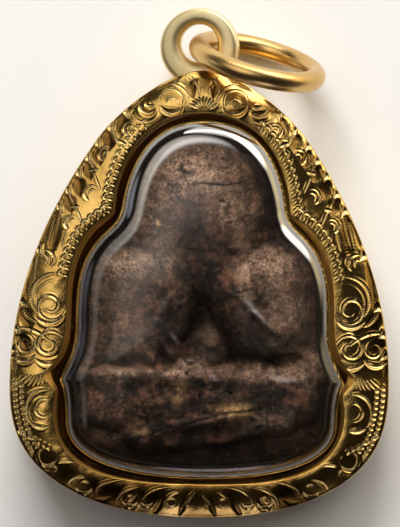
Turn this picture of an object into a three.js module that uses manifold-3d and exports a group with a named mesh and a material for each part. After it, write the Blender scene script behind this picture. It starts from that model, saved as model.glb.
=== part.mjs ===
// A cased amulet pendant: a pressed clay figure that sits cross-legged with both hands over its face,
// sealed in a clear domed case, held in a gold case with a soldered eyelet, with a loose ring through the eyelet.
// It lies on its back. Millimetres, +Z up out of the figure's face, +Y towards the eyelet,
// origin at the centre of the clear back's flat face, on the surface that the pendant rests on.
import * as THREE from "three";
import { mergeVertices } from "three/addons/utils/BufferGeometryUtils.js";
import Module from "manifold-3d";

const wasm = await Module();
wasm.setup();

// Clear case
const COVER_WIDTH = 24.0; // across the two knee points of the dome
const COVER_HEIGHT = 30.2;
const COVER_WALL = 1.0;
const DOME_RISE = 2.0; // dome's rim above the gold band's inner edge
const DOME_ROUND = 1.5; // radius of the dome's shoulder
const DOME_CROWN = 0.35; // how far the middle of the dome stands over its rim
const COVER_DRAFT = 0.15; // the dome's wall widens by this down to its flange
const FLANGE_LIP = 0.75; // flange beyond the foot of the dome's wall, under the gold band
const BACK_FLANGE = 1.0; // thickness of the clear back's flange
const BACK_BOSS_MARGIN = 0.25; // clear back's raised middle beyond the dome's outline

// Gold case
const SHEET = 0.6; // thickness of the gold sheet
const CASE_DEPTH = 7.5; // to the band's outer edge
const CUT_SIDE = 1.11; // cut-out's point beyond the dome's knee point
const CUT_TOP = 0.59; // cut-out beyond the dome at the head
const CUT_FOOT = 0.42; // cut-out beyond the dome at the foot
const BAND_SIDE = 2.89; // band's width at the cut-out's points
const BAND_TOP = 3.62;
const BAND_FOOT = 2.86;
const BAND_CREST = 0.85; // where the band is highest, as a share of the way in from its outer edge
const BAND_RISE = 0.8; // how far it is highest over its outer edge
const EDGE_CHAMFER = 0.22; // bevel along the band's outer edge
const BACK_PROUD = 0.4; // the clear back stands this far out of the gold back plate
const CASE_SHIFT = -0.2; // gold case's middle, beside the dome's

// Eyelet and ring
const EYELET_RADIUS = 3.35;
const EYELET_HOLE = 1.6; // hole's radius at its narrowest
const EYELET_DROP = 0.35; // its outside is centred this far under its hole
const EYELET_LENGTH = 1.9; // along the hole
const EYELET_RISE = 5.45; // eyelet's top above the band's top edge
const EYELET_SHIFT = -0.4; // eyelet's middle, beside the gold case's
const EYELET_HEIGHT = 4.8; // eyelet's centre above the resting surface
const EYELET_FACE = 0.5; // how flat its faces are: 1 is an ellipse, less is flatter
const EYELET_RIM = 0.5; // the same for its outside
const EYELET_MOUTH = 1.0; // the same for its hole
const EYELET_YAW = 8; // degrees that its face is turned towards the left
const EYELET_PITCH = 2; // degrees that its face is turned towards the foot
const RING_RADIUS = 5.1; // to the middle of the wire
const RING_WIRE = 0.87; // radius of the wire
const RING_HEADING = -14; // degrees from +X to where the ring points
const RING_LEAN = 17; // degrees from upright, towards the band
const RING_SLACK = 0.12; // how far the ring is pulled along from the middle of the hole

// Clay figure
const FIGURE_GAP = 0.25; // between the figure's edge and the clear wall
const FIGURE_SLAB = 4.1; // figure's thickness under its relief
const FIGURE_RELIEF = 3.1; // how far the highest form stands over the slab
const FIGURE_ROUND = 2.4; // how far in from its outline the figure's edge is rounded
const FIGURE_SIDE = 1.8; // height of the straight side under the rounding

const SEAT_GAP = 0.1; // between pieces that seat on each other

// Outlines. Each row is one cubic curve of the right half, from the top to the foot. x is a share of the
// outline's half width, y a share of its height down from the top; to is its end, out and into its handles.
const BAND_ROWS = [
  { part: "apex", out: [0.192, 0], into: [0.464, 0.099], to: [0.556, 0.156] },
  { part: "side", out: [0.824, 0.319], into: [1, 0.503], to: [1, 0.703] },
  { part: "corner", out: [1, 0.79], into: [0.958, 0.854], to: [0.792, 0.91] },
  { part: "foot", out: [0.579, 0.981], into: [0.274, 1], to: [0, 1] },
];
const CUT_ROWS = [
  { part: "head", out: [0.402, 0], into: [0.554, 0.146], to: [0.565, 0.27] },
  { part: "shoulder", out: [0.606, 0.299], into: [0.853, 0.301], to: [0.853, 0.531] },
  { part: "flare", out: [0.853, 0.66], into: [0.914, 0.667], to: [1, 0.712] },
  { part: "tab", out: [0.974, 0.725], into: [0.948, 0.739], to: [0.922, 0.752] },
  { part: "waist", out: [0.915, 0.768], into: [0.931, 0.784], to: [0.931, 0.801] },
  { part: "base", out: [0.931, 0.996], into: [0.428, 1], to: [0, 1] },
];
const COVER_ROWS = [
  { part: "head", out: [0.391, 0], into: [0.538, 0.123], to: [0.58, 0.237] },
  { part: "neck", out: [0.585, 0.25], into: [0.586, 0.275], to: [0.667, 0.304] },
  { part: "shoulder", out: [0.89, 0.381], into: [0.891, 0.467], to: [0.891, 0.571] },
  { part: "flare", out: [0.891, 0.658], into: [0.952, 0.673], to: [1, 0.73] },
  { part: "hip", out: [0.968, 0.746], into: [0.954, 0.788], to: [0.954, 0.836] },
  { part: "base", out: [0.954, 0.982], into: [0.352, 1], to: [0, 1] },
];

// The figure's raised forms. Places and radii are shares of the figure's half width (x) and half height (y),
// top is a share of the relief. A form with a second end runs straight to it.
const FORMS = [
  { form: "head", x: -0.02, y: 0.57, rx: 0.55, ry: 0.46, top: 0.86 },
  { form: "brow", x: -0.02, y: 0.64, rx: 0.36, ry: 0.26, top: 0.93 },
  { form: "hands", x: -0.03, y: 0.2, x2: -0.04, y2: 0.44, rx: 0.21, top: 1, top2: 0.94 },
  { form: "left upper arm", x: -0.6, y: -0.06, rx: 0.35, ry: 0.38, top: 0.8 },
  { form: "right upper arm", x: 0.6, y: -0.03, rx: 0.31, ry: 0.4, top: 0.85 },
  { form: "left forearm", x: -0.12, y: 0.22, x2: -0.34, y2: -0.33, rx: 0.17, top: 0.94, top2: 0.68 },
  { form: "right forearm", x: 0.06, y: 0.22, x2: 0.44, y2: -0.28, rx: 0.19, top: 0.96, top2: 0.78 },
  { form: "belly", x: 0.02, y: -0.32, rx: 0.2, ry: 0.14, top: 0.58 },
  { form: "crossed legs", x: -0.78, y: -0.6, x2: 0.8, y2: -0.57, rx: 0.2, top: 0.8, top2: 0.84 },
  { form: "lower shin", x: -0.5, y: -0.83, x2: 0.66, y2: -0.69, rx: 0.15, top: 0.56, top2: 0.76 },
];
const FORM_BLEND = 0.07; // how softly the forms run together, as a share of the relief

// How finely the faceted solids are divided
const BAND_STEPS = [9, 9, 6, 6]; // divisions of each row of the band's outline
const CUT_STEPS = [11, 10, 6, 2, 2, 12];
const COVER_STEPS = [9, 5, 7, 5, 4, 12];
const ARCH_STEPS = 6; // across the band
const SHOULDER_STEPS = 4; // round the dome's shoulder
const FIGURE_RINGS = 22;

const radians = THREE.MathUtils.degToRad;

// The whole outline, anticlockwise from the top, as points.
function outline(rows, steps, halfWidth, top, height, middle = 0) {
  const place = ([x, y]) => new THREE.Vector2(middle + x * halfWidth, top - y * height);
  const right = [];
  let from = [0, 0];
  rows.forEach((row, n) => {
    const curve = new THREE.CubicBezierCurve(place(from), place(row.out), place(row.into), place(row.to));
    right.push(...curve.getPoints(steps[n]).slice(0, -1));
    from = row.to;
  });
  right.push(place(from));
  const left = right.slice(1, -1).map((p) => new THREE.Vector2(2 * middle - p.x, p.y));
  return [...left, ...right.reverse()];
}

// The outline moved out by a distance, or in by a negative one, with its mitres kept short.
function offset(points, distance) {
  const count = points.length;
  return points.map((p, i) => {
    const before = p.clone().sub(points[(i + count - 1) % count]).normalize();
    const after = points[(i + 1) % count].clone().sub(p).normalize();
    const along = before.clone().add(after).normalize();
    const mitre = Math.max(along.dot(before), 0.75);
    return new THREE.Vector2(p.x + (along.y * distance) / mitre, p.y - (along.x * distance) / mitre);
  });
}

// How far an outline lies from the origin in a direction. Where a moved outline crosses itself there are
// several answers: the nearest is right for one moved in, the furthest for one moved out.
function reach(points, angle, pick = Math.min) {
  const x = Math.cos(angle);
  const y = Math.sin(angle);
  const found = [];
  points.forEach((a, i) => {
    const b = points[(i + 1) % points.length];
    const sideA = x * a.y - y * a.x;
    const sideB = x * b.y - y * b.x;
    if (sideA === sideB || sideA * sideB > 0) return;
    const share = sideA / (sideA - sideB);
    const far = x * (a.x + share * (b.x - a.x)) + y * (a.y + share * (b.y - a.y));
    if (far > 0) found.push(far);
  });
  return pick(...found);
}

// A solid through sections that stand on rays from the origin. Each section is a list of [radius, z] points
// that goes out over the top and down the outside. A closed one makes a ring; an open one ends on the axis.
function loft(angles, sectionAt, closed) {
  const sections = angles.map(sectionAt);
  const size = sections[0].length;
  const position = [];
  const index = [];
  const point = (radius, angle, z) => position.push(radius * Math.cos(angle), radius * Math.sin(angle), z);
  sections.forEach((section, i) => section.forEach(([radius, z]) => point(radius, angles[i], z)));
  for (let i = 0; i < angles.length; i += 1) {
    const next = (i + 1) % angles.length;
    for (let j = 0; j < (closed ? size : size - 1); j += 1) {
      const a = i * size + j;
      const b = next * size + j;
      const c = next * size + ((j + 1) % size);
      const d = i * size + ((j + 1) % size);
      index.push(a, c, b, a, d, c);
    }
  }
  const geometry = new THREE.BufferGeometry();
  geometry.setAttribute("position", new THREE.Float32BufferAttribute(position, 3));
  geometry.setIndex(index);
  return mergeVertices(geometry, 1e-3);
}

// manifold-3d solids from three.js geometry and back
function toSolid(geometry) {
  const bare = geometry.clone();
  bare.deleteAttribute("normal");
  bare.deleteAttribute("uv");
  const merged = mergeVertices(bare, 1e-3);
  return new wasm.Manifold(
    new wasm.Mesh({
      numProp: 3,
      vertProperties: merged.attributes.position.array,
      triVerts: new Uint32Array(merged.index.array),
    }),
  );
}
function toGeometry(solid) {
  const mesh = solid.getMesh();
  const geometry = new THREE.BufferGeometry();
  geometry.setAttribute("position", new THREE.BufferAttribute(mesh.vertProperties, 3));
  geometry.setIndex(new THREE.BufferAttribute(mesh.triVerts, 1));
  return geometry;
}

const bandEdge = BACK_PROUD + CASE_DEPTH;

// Height of the gold band at a share of the way from its outer edge to the cut-out
function bandHeightAt(share) {
  return bandEdge + BAND_RISE * (1 - (1 - share / BAND_CREST) ** 2);
}

// Levels, from the resting surface up
const backPlateTop = BACK_PROUD + SHEET;
const clearBackTop = backPlateTop + SEAT_GAP + BACK_FLANGE;
const coverFoot = clearBackTop + SEAT_GAP;
const cutEdge = bandHeightAt(1);
const flangeTop = cutEdge - SHEET - SEAT_GAP;
const domeRim = cutEdge + DOME_RISE;
const figureFoot = clearBackTop + SEAT_GAP;

// Outlines, from the dome outwards
const coverHalf = COVER_WIDTH / 2;
const coverTop = COVER_HEIGHT / 2;
const cutHalf = coverHalf + CUT_SIDE;
const cutTop = coverTop + CUT_TOP;
const cutHeight = COVER_HEIGHT + CUT_TOP + CUT_FOOT;
const bandHalf = cutHalf + BAND_SIDE;
const bandTop = cutTop + BAND_TOP;
const bandHeight = cutHeight + BAND_TOP + BAND_FOOT;
const coverLine = outline(COVER_ROWS, COVER_STEPS, coverHalf, coverTop, COVER_HEIGHT);
const cutLine = outline(CUT_ROWS, CUT_STEPS, cutHalf, cutTop, cutHeight, CASE_SHIFT);
const bandLine = outline(BAND_ROWS, BAND_STEPS, bandHalf, bandTop, bandHeight, CASE_SHIFT);
const flangeLine = offset(coverLine, COVER_DRAFT + FLANGE_LIP);
const bossLine = offset(coverLine, BACK_BOSS_MARGIN);
const backCutLine = offset(coverLine, BACK_BOSS_MARGIN + SEAT_GAP);
const wallInnerLine = offset(bandLine, -SHEET);
const backPlateLine = offset(bandLine, -SHEET - SEAT_GAP);
const angleOf = (p) => Math.atan2(p.y, p.x);
const cutAngles = cutLine.map(angleOf);
const coverAngles = coverLine.map(angleOf);

// Side wall and engraved front band, bent from one sheet
function caseShell() {
  const bevelLine = offset(bandLine, -EDGE_CHAMFER);
  return loft(
    cutAngles,
    (angle) => {
      const outer = reach(bandLine, angle);
      const bevel = reach(bevelLine, angle);
      const inner = reach(wallInnerLine, angle);
      const cut = reach(cutLine, angle);
      const section = [[inner, BACK_PROUD]];
      for (let i = 0; i <= ARCH_STEPS; i += 1) {
        const share = i / ARCH_STEPS;
        section.push([inner + (cut - inner) * share, bandHeightAt(share) - SHEET]);
      }
      for (let i = ARCH_STEPS; i >= 0; i -= 1) {
        const share = i / ARCH_STEPS;
        section.push([bevel + (cut - bevel) * share, bandHeightAt(share)]);
      }
      section.push(
        [outer, bandEdge - EDGE_CHAMFER],
        [outer, BACK_PROUD + EDGE_CHAMFER],
        [bevel, BACK_PROUD],
      );
      return section;
    },
    true,
  );
}

// Thick rounded eyelet, cut to the case's top and soldered there
const eyeletHole = new THREE.Vector3(
  CASE_SHIFT + EYELET_SHIFT,
  bandTop + EYELET_RISE - EYELET_RADIUS + EYELET_DROP,
  EYELET_HEIGHT,
);
function eyelet() {
  const SECTION_SIDES = 14;
  const ROUND_STEPS = 36;
  const bulge = (v, power) => Math.sign(v) * Math.abs(v) ** power;
  const geometry = loft(
    Array.from({ length: ROUND_STEPS }, (_, i) => (2 * Math.PI * i) / ROUND_STEPS),
    (angle) => {
      const outer = EYELET_RADIUS - EYELET_DROP * Math.sin(angle);
      return Array.from({ length: SECTION_SIDES }, (_, i) => {
        const turn = (-2 * Math.PI * i) / SECTION_SIDES;
        const power = Math.cos(turn) > 0 ? EYELET_RIM : EYELET_MOUTH;
        const radius = (outer + EYELET_HOLE + (outer - EYELET_HOLE) * bulge(Math.cos(turn), power)) / 2;
        return [radius, (EYELET_LENGTH / 2) * bulge(Math.sin(turn), EYELET_FACE)];
      });
    },
    true,
  );
  geometry.rotateX(radians(EYELET_PITCH));
  geometry.rotateY(radians(-EYELET_YAW));
  geometry.translate(eyeletHole.x, eyeletHole.y, eyeletHole.z);
  const inside = new THREE.ExtrudeGeometry(new THREE.Shape(offset(bandLine, -SHEET / 2)), {
    depth: bandEdge,
    bevelEnabled: false,
  });
  return toSolid(geometry).subtract(toSolid(inside));
}

function goldCase() {
  return toGeometry(toSolid(caseShell()).add(eyelet()));
}

// Flat gold plate let into the back of the case, open where the clear back shows
function backPlate() {
  return loft(
    coverAngles,
    (angle) => {
      const outer = reach(backPlateLine, angle);
      const inner = reach(backCutLine, angle, Math.max);
      return [
        [inner, BACK_PROUD],
        [inner, backPlateTop],
        [outer, backPlateTop],
        [outer, BACK_PROUD],
      ];
    },
    true,
  );
}

// Clear dome with its flange: a hollow shell, open at the back
function clearCover() {
  const rings = (line, from, pick) =>
    Array.from({ length: SHOULDER_STEPS + 1 }, (_, i) => {
      const turn = ((i / SHOULDER_STEPS) * Math.PI) / 2;
      return { line: offset(line, -from * (1 - Math.sin(turn))), drop: from * (1 - Math.cos(turn)), pick };
    });
  const innerLine = offset(coverLine, -COVER_WALL);
  const innerRound = DOME_ROUND - COVER_WALL / 2;
  const outerRings = rings(coverLine, DOME_ROUND);
  const innerRings = rings(innerLine, innerRound).reverse();
  const footLine = offset(coverLine, COVER_DRAFT);
  return loft(
    coverAngles,
    (angle) => {
      const section = [[0, domeRim + DOME_CROWN]];
      const flat = reach(outerRings[0].line, angle);
      section.push([flat * 0.5, domeRim + DOME_CROWN * 0.75]);
      outerRings.forEach((ring) => section.push([reach(ring.line, angle), domeRim - ring.drop]));
      section.push(
        [reach(footLine, angle, Math.max), flangeTop],
        [reach(flangeLine, angle, Math.max), flangeTop],
        [reach(flangeLine, angle, Math.max), coverFoot],
        [reach(innerLine, angle), coverFoot],
      );
      innerRings.forEach((ring) => section.push([reach(ring.line, angle), domeRim - COVER_WALL - ring.drop]));
      const innerFlat = reach(innerRings[innerRings.length - 1].line, angle);
      section.push(
        [innerFlat * 0.5, domeRim - COVER_WALL + DOME_CROWN * 0.75],
        [0, domeRim - COVER_WALL + DOME_CROWN],
      );
      return section;
    },
    false,
  );
}

// Clear back: a flat plate whose raised middle stands out of the gold back plate
function clearBack() {
  return loft(
    coverAngles,
    (angle) => {
      const boss = reach(bossLine, angle, Math.max);
      const flange = reach(flangeLine, angle, Math.max);
      return [
        [0, clearBackTop],
        [flange, clearBackTop],
        [flange, backPlateTop + SEAT_GAP],
        [boss, backPlateTop + SEAT_GAP],
        [boss, 0],
        [0, 0],
      ];
    },
    false,
  );
}

// Share of the relief that one form reaches at a place, both in shares of the figure's half sizes
function formHeight(row, x, y) {
  let along = 0;
  if (row.x2 !== undefined) {
    const dx = row.x2 - row.x;
    const dy = row.y2 - row.y;
    along = THREE.MathUtils.clamp(((x - row.x) * dx + (y - row.y) * dy) / (dx * dx + dy * dy), 0, 1);
  }
  const centreX = row.x + along * ((row.x2 ?? row.x) - row.x);
  const centreY = row.y + along * ((row.y2 ?? row.y) - row.y);
  const top = row.top + along * ((row.top2 ?? row.top) - row.top);
  const away = ((x - centreX) / row.rx) ** 2 + ((y - centreY) / (row.ry ?? row.rx)) ** 2;
  return away >= 1 ? 0 : top * (1 - away) ** 0.6;
}

// All the forms together, run softly into each other
function reliefAt(x, y) {
  const total = FORMS.reduce((sum, row) => sum + Math.exp(formHeight(row, x, y) / FORM_BLEND), 1);
  return FORM_BLEND * Math.log(total / (FORMS.length + 1));
}

// Pressed clay figure with a flat back
function figure() {
  const line = offset(coverLine, -COVER_WALL - FIGURE_GAP);
  const half = coverHalf - COVER_WALL - FIGURE_GAP;
  const halfHeight = coverTop - COVER_WALL - FIGURE_GAP;
  return loft(
    coverAngles,
    (angle) => {
      const rim = reach(line, angle);
      const section = [];
      for (let i = 0; i <= FIGURE_RINGS; i += 1) {
        const share = 1 - (1 - i / FIGURE_RINGS) ** 1.35;
        const radius = rim * share;
        const full = FIGURE_SLAB + FIGURE_RELIEF * reliefAt(
          (radius * Math.cos(angle)) / half,
          (radius * Math.sin(angle)) / halfHeight,
        );
        const inwards = Math.min((rim - radius) / FIGURE_ROUND, 1);
        const rounding = Math.sqrt(1 - (1 - inwards) ** 2);
        section.push([radius, figureFoot + FIGURE_SIDE + (full - FIGURE_SIDE) * rounding]);
      }
      section.push([rim, figureFoot], [0, figureFoot]);
      return section;
    },
    false,
  );
}

// Loose ring that passes through the eyelet, stands on the resting surface and leans towards the band
function placeRing(ring) {
  const WIRE_SIDES = 14;
  const RING_SIDES = 48;
  ring.geometry = new THREE.TorusGeometry(RING_RADIUS, RING_WIRE, WIRE_SIDES, RING_SIDES);
  const heading = radians(RING_HEADING);
  const lean = radians(RING_LEAN);
  const ahead = new THREE.Vector3(Math.cos(heading), Math.sin(heading), 0);
  const up = new THREE.Vector3(
    Math.sin(heading) * Math.sin(lean),
    -Math.cos(heading) * Math.sin(lean),
    Math.cos(lean),
  );
  const through = new THREE.Vector3().crossVectors(ahead, up);
  ring.setRotationFromMatrix(new THREE.Matrix4().makeBasis(ahead, up, through));
  // The wire passes the hole where the ring is as high as the eyelet, on the ring's near side.
  const centreHeight = RING_RADIUS * Math.cos(lean) + RING_WIRE;
  const rise = (EYELET_HEIGHT - centreHeight) / Math.cos(lean);
  const back = Math.sqrt(RING_RADIUS ** 2 - rise ** 2) + RING_SLACK;
  ring.position.copy(eyeletHole).addScaledVector(ahead, back).addScaledVector(up, -rise);
}

const gold = new THREE.MeshStandardMaterial({ color: 0xc9962f, metalness: 1, roughness: 0.25 });
const satinGold = new THREE.MeshStandardMaterial({ color: 0xcfa45a, metalness: 1, roughness: 0.4 });
const clear = new THREE.MeshStandardMaterial({ color: 0xe8e6e0, transparent: true, opacity: 0.3, roughness: 0.05 });
const clay = new THREE.MeshStandardMaterial({ color: 0x3a2a22, metalness: 0, roughness: 0.7 });

const pendant = new THREE.Group();
function addPiece(name, geometry, material) {
  const mesh = new THREE.Mesh(geometry, material);
  mesh.name = name;
  pendant.add(mesh);
  return mesh;
}
addPiece("gold_case", goldCase(), gold);
addPiece("gold_back_plate", backPlate(), gold);
addPiece("clear_cover", clearCover(), clear);
addPiece("clear_back", clearBack(), clear);
addPiece("clay_figure", figure(), clay);
placeRing(addPiece("hanging_ring", new THREE.BufferGeometry(), satinGold));

export default pendant;
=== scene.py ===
# %% [markdown]
# # A cased amulet pendant
# The object is a small pendant. A gold case with an engraved band holds a pressed clay figure under a
# clear dome, and a loose ring hangs in an eyelet on top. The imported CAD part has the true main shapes.
# This script dresses it in Blender one piece at a time: each step says what the piece is, how it could be
# made, and why this way was chosen. Lengths are worked out in millimetres and become metres when a mesh
# is made.

import math

import bpy
import numpy as np
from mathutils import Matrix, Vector


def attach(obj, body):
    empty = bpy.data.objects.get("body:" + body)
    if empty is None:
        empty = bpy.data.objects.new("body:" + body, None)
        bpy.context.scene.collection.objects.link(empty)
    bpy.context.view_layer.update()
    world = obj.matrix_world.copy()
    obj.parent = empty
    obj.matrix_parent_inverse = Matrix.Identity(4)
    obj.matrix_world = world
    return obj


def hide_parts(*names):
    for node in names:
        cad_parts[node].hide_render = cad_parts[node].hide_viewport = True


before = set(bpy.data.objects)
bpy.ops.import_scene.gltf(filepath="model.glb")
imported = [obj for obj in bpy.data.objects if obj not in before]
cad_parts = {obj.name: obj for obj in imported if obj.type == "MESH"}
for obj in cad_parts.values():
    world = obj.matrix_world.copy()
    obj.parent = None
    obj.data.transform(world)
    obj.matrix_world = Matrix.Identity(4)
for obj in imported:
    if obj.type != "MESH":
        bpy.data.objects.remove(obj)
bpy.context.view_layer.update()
print("CAD nodes:", sorted(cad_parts))

# %% [markdown]
# ## Heights, from the table up
# The real pendant is a stack: a gold back plate, a clear back, the clay, and a clear cover whose flange
# sits under the gold band. Each height could be typed in, but then changing one layer would open a gap.
# So each is added to the one below it, from the same sizes as the CAD part.

# %% Back plate and clear back
SHEET = 0.6
BACK_PROUD = 0.4
BACK_FLANGE = 1.0
SEAT_GAP = 0.1
CLEAR_BACK_TOP = BACK_PROUD + SHEET + SEAT_GAP + BACK_FLANGE
COVER_FOOT = CLEAR_BACK_TOP + SEAT_GAP
FIGURE_FOOT = CLEAR_BACK_TOP + SEAT_GAP
print("The cover and the clay start", round(FIGURE_FOOT, 2), "mm above the table")

# %% Arched band, cut-out and dome
CASE_DEPTH = 7.5
BAND_CREST = 0.85
BAND_RISE = 0.8
DOME_RISE = 2.0
BAND_EDGE = BACK_PROUD + CASE_DEPTH


def band_level(share):
    """The band's height at a share of the way from its outer edge to the cut-out."""
    return BAND_EDGE + BAND_RISE * (1 - (1 - share / BAND_CREST) ** 2)


CUT_EDGE = band_level(1)
DOME_RIM = CUT_EDGE + DOME_RISE
print("The band meets the dome at", round(CUT_EDGE, 2), "mm")
print("The dome's rim is at", round(DOME_RIM, 2), "mm")

# %% [markdown]
# ## Outlines
# From above the case is a pointed oval, and its cut-out follows the sitting figure: head, shoulders, two
# side points and a round base. These could be drawn as curve objects and filled. Here each is a table of
# Bezier rows instead, because numbers can be mirrored, offset and measured, and the CAD part uses the
# same rows.

# %% Sizes of the three outlines
COVER_WIDTH = 24.0
COVER_HEIGHT = 30.2
CUT_SIDE = 1.11
CUT_TOP = 0.59
CUT_FOOT = 0.42
BAND_SIDE = 2.89
BAND_TOP = 3.62
BAND_FOOT = 2.86
COVER_HALF = COVER_WIDTH / 2
COVER_TOP = COVER_HEIGHT / 2
CUT_HALF = COVER_HALF + CUT_SIDE
CUT_TOP_Y = COVER_TOP + CUT_TOP
CUT_TALL = COVER_HEIGHT + CUT_TOP + CUT_FOOT
BAND_HALF = CUT_HALF + BAND_SIDE
BAND_TOP_Y = CUT_TOP_Y + BAND_TOP
BAND_TALL = CUT_TALL + BAND_TOP + BAND_FOOT
print("The case is", round(2 * BAND_HALF, 2), "mm wide and", round(BAND_TALL, 2), "mm high")

# %% Rows of the right half, as shares of half the width and of the height: handle, handle, end
BAND_ROWS = [
    dict(part="apex", out=(0.192, 0), into=(0.464, 0.099), to=(0.556, 0.156)),
    dict(part="side", out=(0.824, 0.319), into=(1, 0.503), to=(1, 0.703)),
    dict(part="corner", out=(1, 0.79), into=(0.958, 0.854), to=(0.792, 0.91)),
    dict(part="foot", out=(0.579, 0.981), into=(0.274, 1), to=(0, 1)),
]
CUT_ROWS = [
    dict(part="head", out=(0.402, 0), into=(0.554, 0.146), to=(0.565, 0.27)),
    dict(part="shoulder", out=(0.606, 0.299), into=(0.853, 0.301), to=(0.853, 0.531)),
    dict(part="flare", out=(0.853, 0.66), into=(0.914, 0.667), to=(1, 0.712)),
    dict(part="tab", out=(0.974, 0.725), into=(0.948, 0.739), to=(0.922, 0.752)),
    dict(part="waist", out=(0.915, 0.768), into=(0.931, 0.784), to=(0.931, 0.801)),
    dict(part="base", out=(0.931, 0.996), into=(0.428, 1), to=(0, 1)),
]
COVER_ROWS = [
    dict(part="head", out=(0.391, 0), into=(0.538, 0.123), to=(0.58, 0.237)),
    dict(part="neck", out=(0.585, 0.25), into=(0.586, 0.275), to=(0.667, 0.304)),
    dict(part="shoulder", out=(0.89, 0.381), into=(0.891, 0.467), to=(0.891, 0.571)),
    dict(part="flare", out=(0.891, 0.658), into=(0.952, 0.673), to=(1, 0.73)),
    dict(part="hip", out=(0.968, 0.746), into=(0.954, 0.788), to=(0.954, 0.836)),
    dict(part="base", out=(0.954, 0.982), into=(0.352, 1), to=(0, 1)),
]
print("Rows in the three outlines:", len(BAND_ROWS), len(CUT_ROWS), len(COVER_ROWS))


# %% Distances along a path
def path_length(points):
    """How far along a path each of its points lies."""
    steps = np.hypot(*np.diff(points, axis=0).T)
    return np.concatenate([[0], np.cumsum(steps)])


def along_path(points, where):
    """The places at given distances along a path."""
    length = path_length(points)
    return np.stack([np.interp(where, length, points[:, k]) for k in (0, 1)], axis=1)


corner = np.array([[0, 0], [3, 0], [3, 5]])
print("4 mm along a path with a corner:", along_path(corner, np.array([4.0])))


# %% One half of an outline
POINTS_PER_ROW = 240


def bezier(start, out, into, end, count):
    share = np.linspace(0, 1, count)[:, None]
    rest = 1 - share
    start, out, into, end = (np.array(place, float) for place in (start, out, into, end))
    return rest**3 * start + 3 * rest * rest * share * out + 3 * rest * share * share * into + share**3 * end


def half_outline(rows, half, top, tall):
    """The right half from the top to the foot, and how far along it each row ends."""
    pieces = []
    ends = []
    start = (0, 0)
    for row in rows:
        curve = bezier(start, row["out"], row["into"], row["to"], POINTS_PER_ROW)
        pieces.append(curve if not pieces else curve[1:])
        ends.append(sum(len(piece) for piece in pieces) - 1)
        start = row["to"]
    points = np.vstack(pieces) * (half, -tall) + (0, top)
    return points, path_length(points)[ends]


band_line, _ = half_outline(BAND_ROWS, BAND_HALF, BAND_TOP_Y, BAND_TALL)
cut_line, cut_row_ends = half_outline(CUT_ROWS, CUT_HALF, CUT_TOP_Y, CUT_TALL)
cover_line, _ = half_outline(COVER_ROWS, COVER_HALF, COVER_TOP, COVER_HEIGHT)
print("Half of the band's edge is", round(path_length(band_line)[-1], 1), "mm long")


# %% The cover's whole outline, and outlines beside it
def cover_outline(count):
    """The closed outline, anticlockwise from the foot, with evenly spaced points."""
    loop = np.vstack([cover_line[::-1], (cover_line * (-1, 1))[1:]])
    return along_path(loop, np.linspace(0, path_length(loop)[-1], count, endpoint=False))


def offset(points, distance):
    """A closed anticlockwise outline moved out by a distance, or in by a negative one."""
    before = points - np.roll(points, 1, axis=0)
    after = np.roll(points, -1, axis=0) - points
    before /= np.linalg.norm(before, axis=1)[:, None]
    after /= np.linalg.norm(after, axis=1)[:, None]
    along = before + after
    along /= np.linalg.norm(along, axis=1)[:, None]
    mitre = np.maximum((along * before).sum(1), 0.75)[:, None]
    return points + np.stack([along[:, 1], -along[:, 0]], axis=1) * distance / mitre


wider = np.ptp(offset(cover_outline(400), 1.0)[:, 0]) - np.ptp(cover_outline(400)[:, 0])
print("Moved out by 1 mm, the cover is", wider.round(2), "mm wider")


# %% How far an outline reaches in each direction
def reach(points, angles, furthest=False):
    """The distance from the middle to an outline, at the first crossing or at the furthest one."""
    here = points[None]
    there = np.roll(points, -1, axis=0)[None]
    x = np.cos(angles)[:, None]
    y = np.sin(angles)[:, None]
    side_here = x * here[..., 1] - y * here[..., 0]
    side_there = x * there[..., 1] - y * there[..., 0]
    share = side_here / np.where(side_here == side_there, 1, side_here - side_there)
    far = x * (here[..., 0] + share * (there[..., 0] - here[..., 0]))
    far = far + y * (here[..., 1] + share * (there[..., 1] - here[..., 1]))
    crossed = (side_here * side_there <= 0) & (side_here != side_there) & (far > 0)
    if furthest:
        return np.where(crossed, far, -1).max(1)
    return np.where(crossed, far, 1e9).min(1)


up_and_right = np.array([math.pi / 2, 0.0])
print("The cover reaches up and to the right:", reach(cover_outline(400), up_and_right).round(2), "mm")

# %% [markdown]
# ## Uneven surfaces
# Hand-worked gold and pressed clay are never quite even. Blender's Displace modifier with a clouds
# texture could do this, but its lumps can't be mixed freely with other shapes. A small noise of our own
# gives a height for each point, in millimetres, and the same numbers again on each run.


# %% Noise on a lattice
def smooth(low, high, value):
    """0 below low, 1 above high, and a soft step between."""
    share = np.clip((value - low) / (high - low), 0, 1)
    return share * share * (3 - 2 * share)


def lattice_noise(x, y, lump, seed):
    """Smooth noise from -1 to 1 whose lumps are so many millimetres wide."""
    grid = np.random.default_rng(seed).uniform(-1, 1, (128, 128))
    u, v = x / lump + 37.3, y / lump + 51.7
    column, row = np.floor(u).astype(int), np.floor(v).astype(int)
    u, v = smooth(0, 1, u - column), smooth(0, 1, v - row)
    column, row = column % 128, row % 128
    next_column, next_row = (column + 1) % 128, (row + 1) % 128
    low = grid[column, row] * (1 - u) + grid[next_column, row] * u
    high = grid[column, next_row] * (1 - u) + grid[next_column, next_row] * u
    return low * (1 - v) + high * v


print("A soft step, half way up:", smooth(2, 4, 3))


# %% Noise in layers, each half as wide as the last
def layered_noise(x, y, lump, seed, layers=4, fall=0.55):
    total = np.zeros_like(x)
    weight, size = 1.0, 0.0
    for layer in range(layers):
        total += weight * lattice_noise(x, y, lump / 2**layer, seed + layer)
        size += weight
        weight *= fall
    return total / size


line_of_places = np.linspace(0, 40, 400)
print("Noise along 40 mm spans", np.ptp(layered_noise(line_of_places, line_of_places, 2.0, 1)).round(2))

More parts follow.
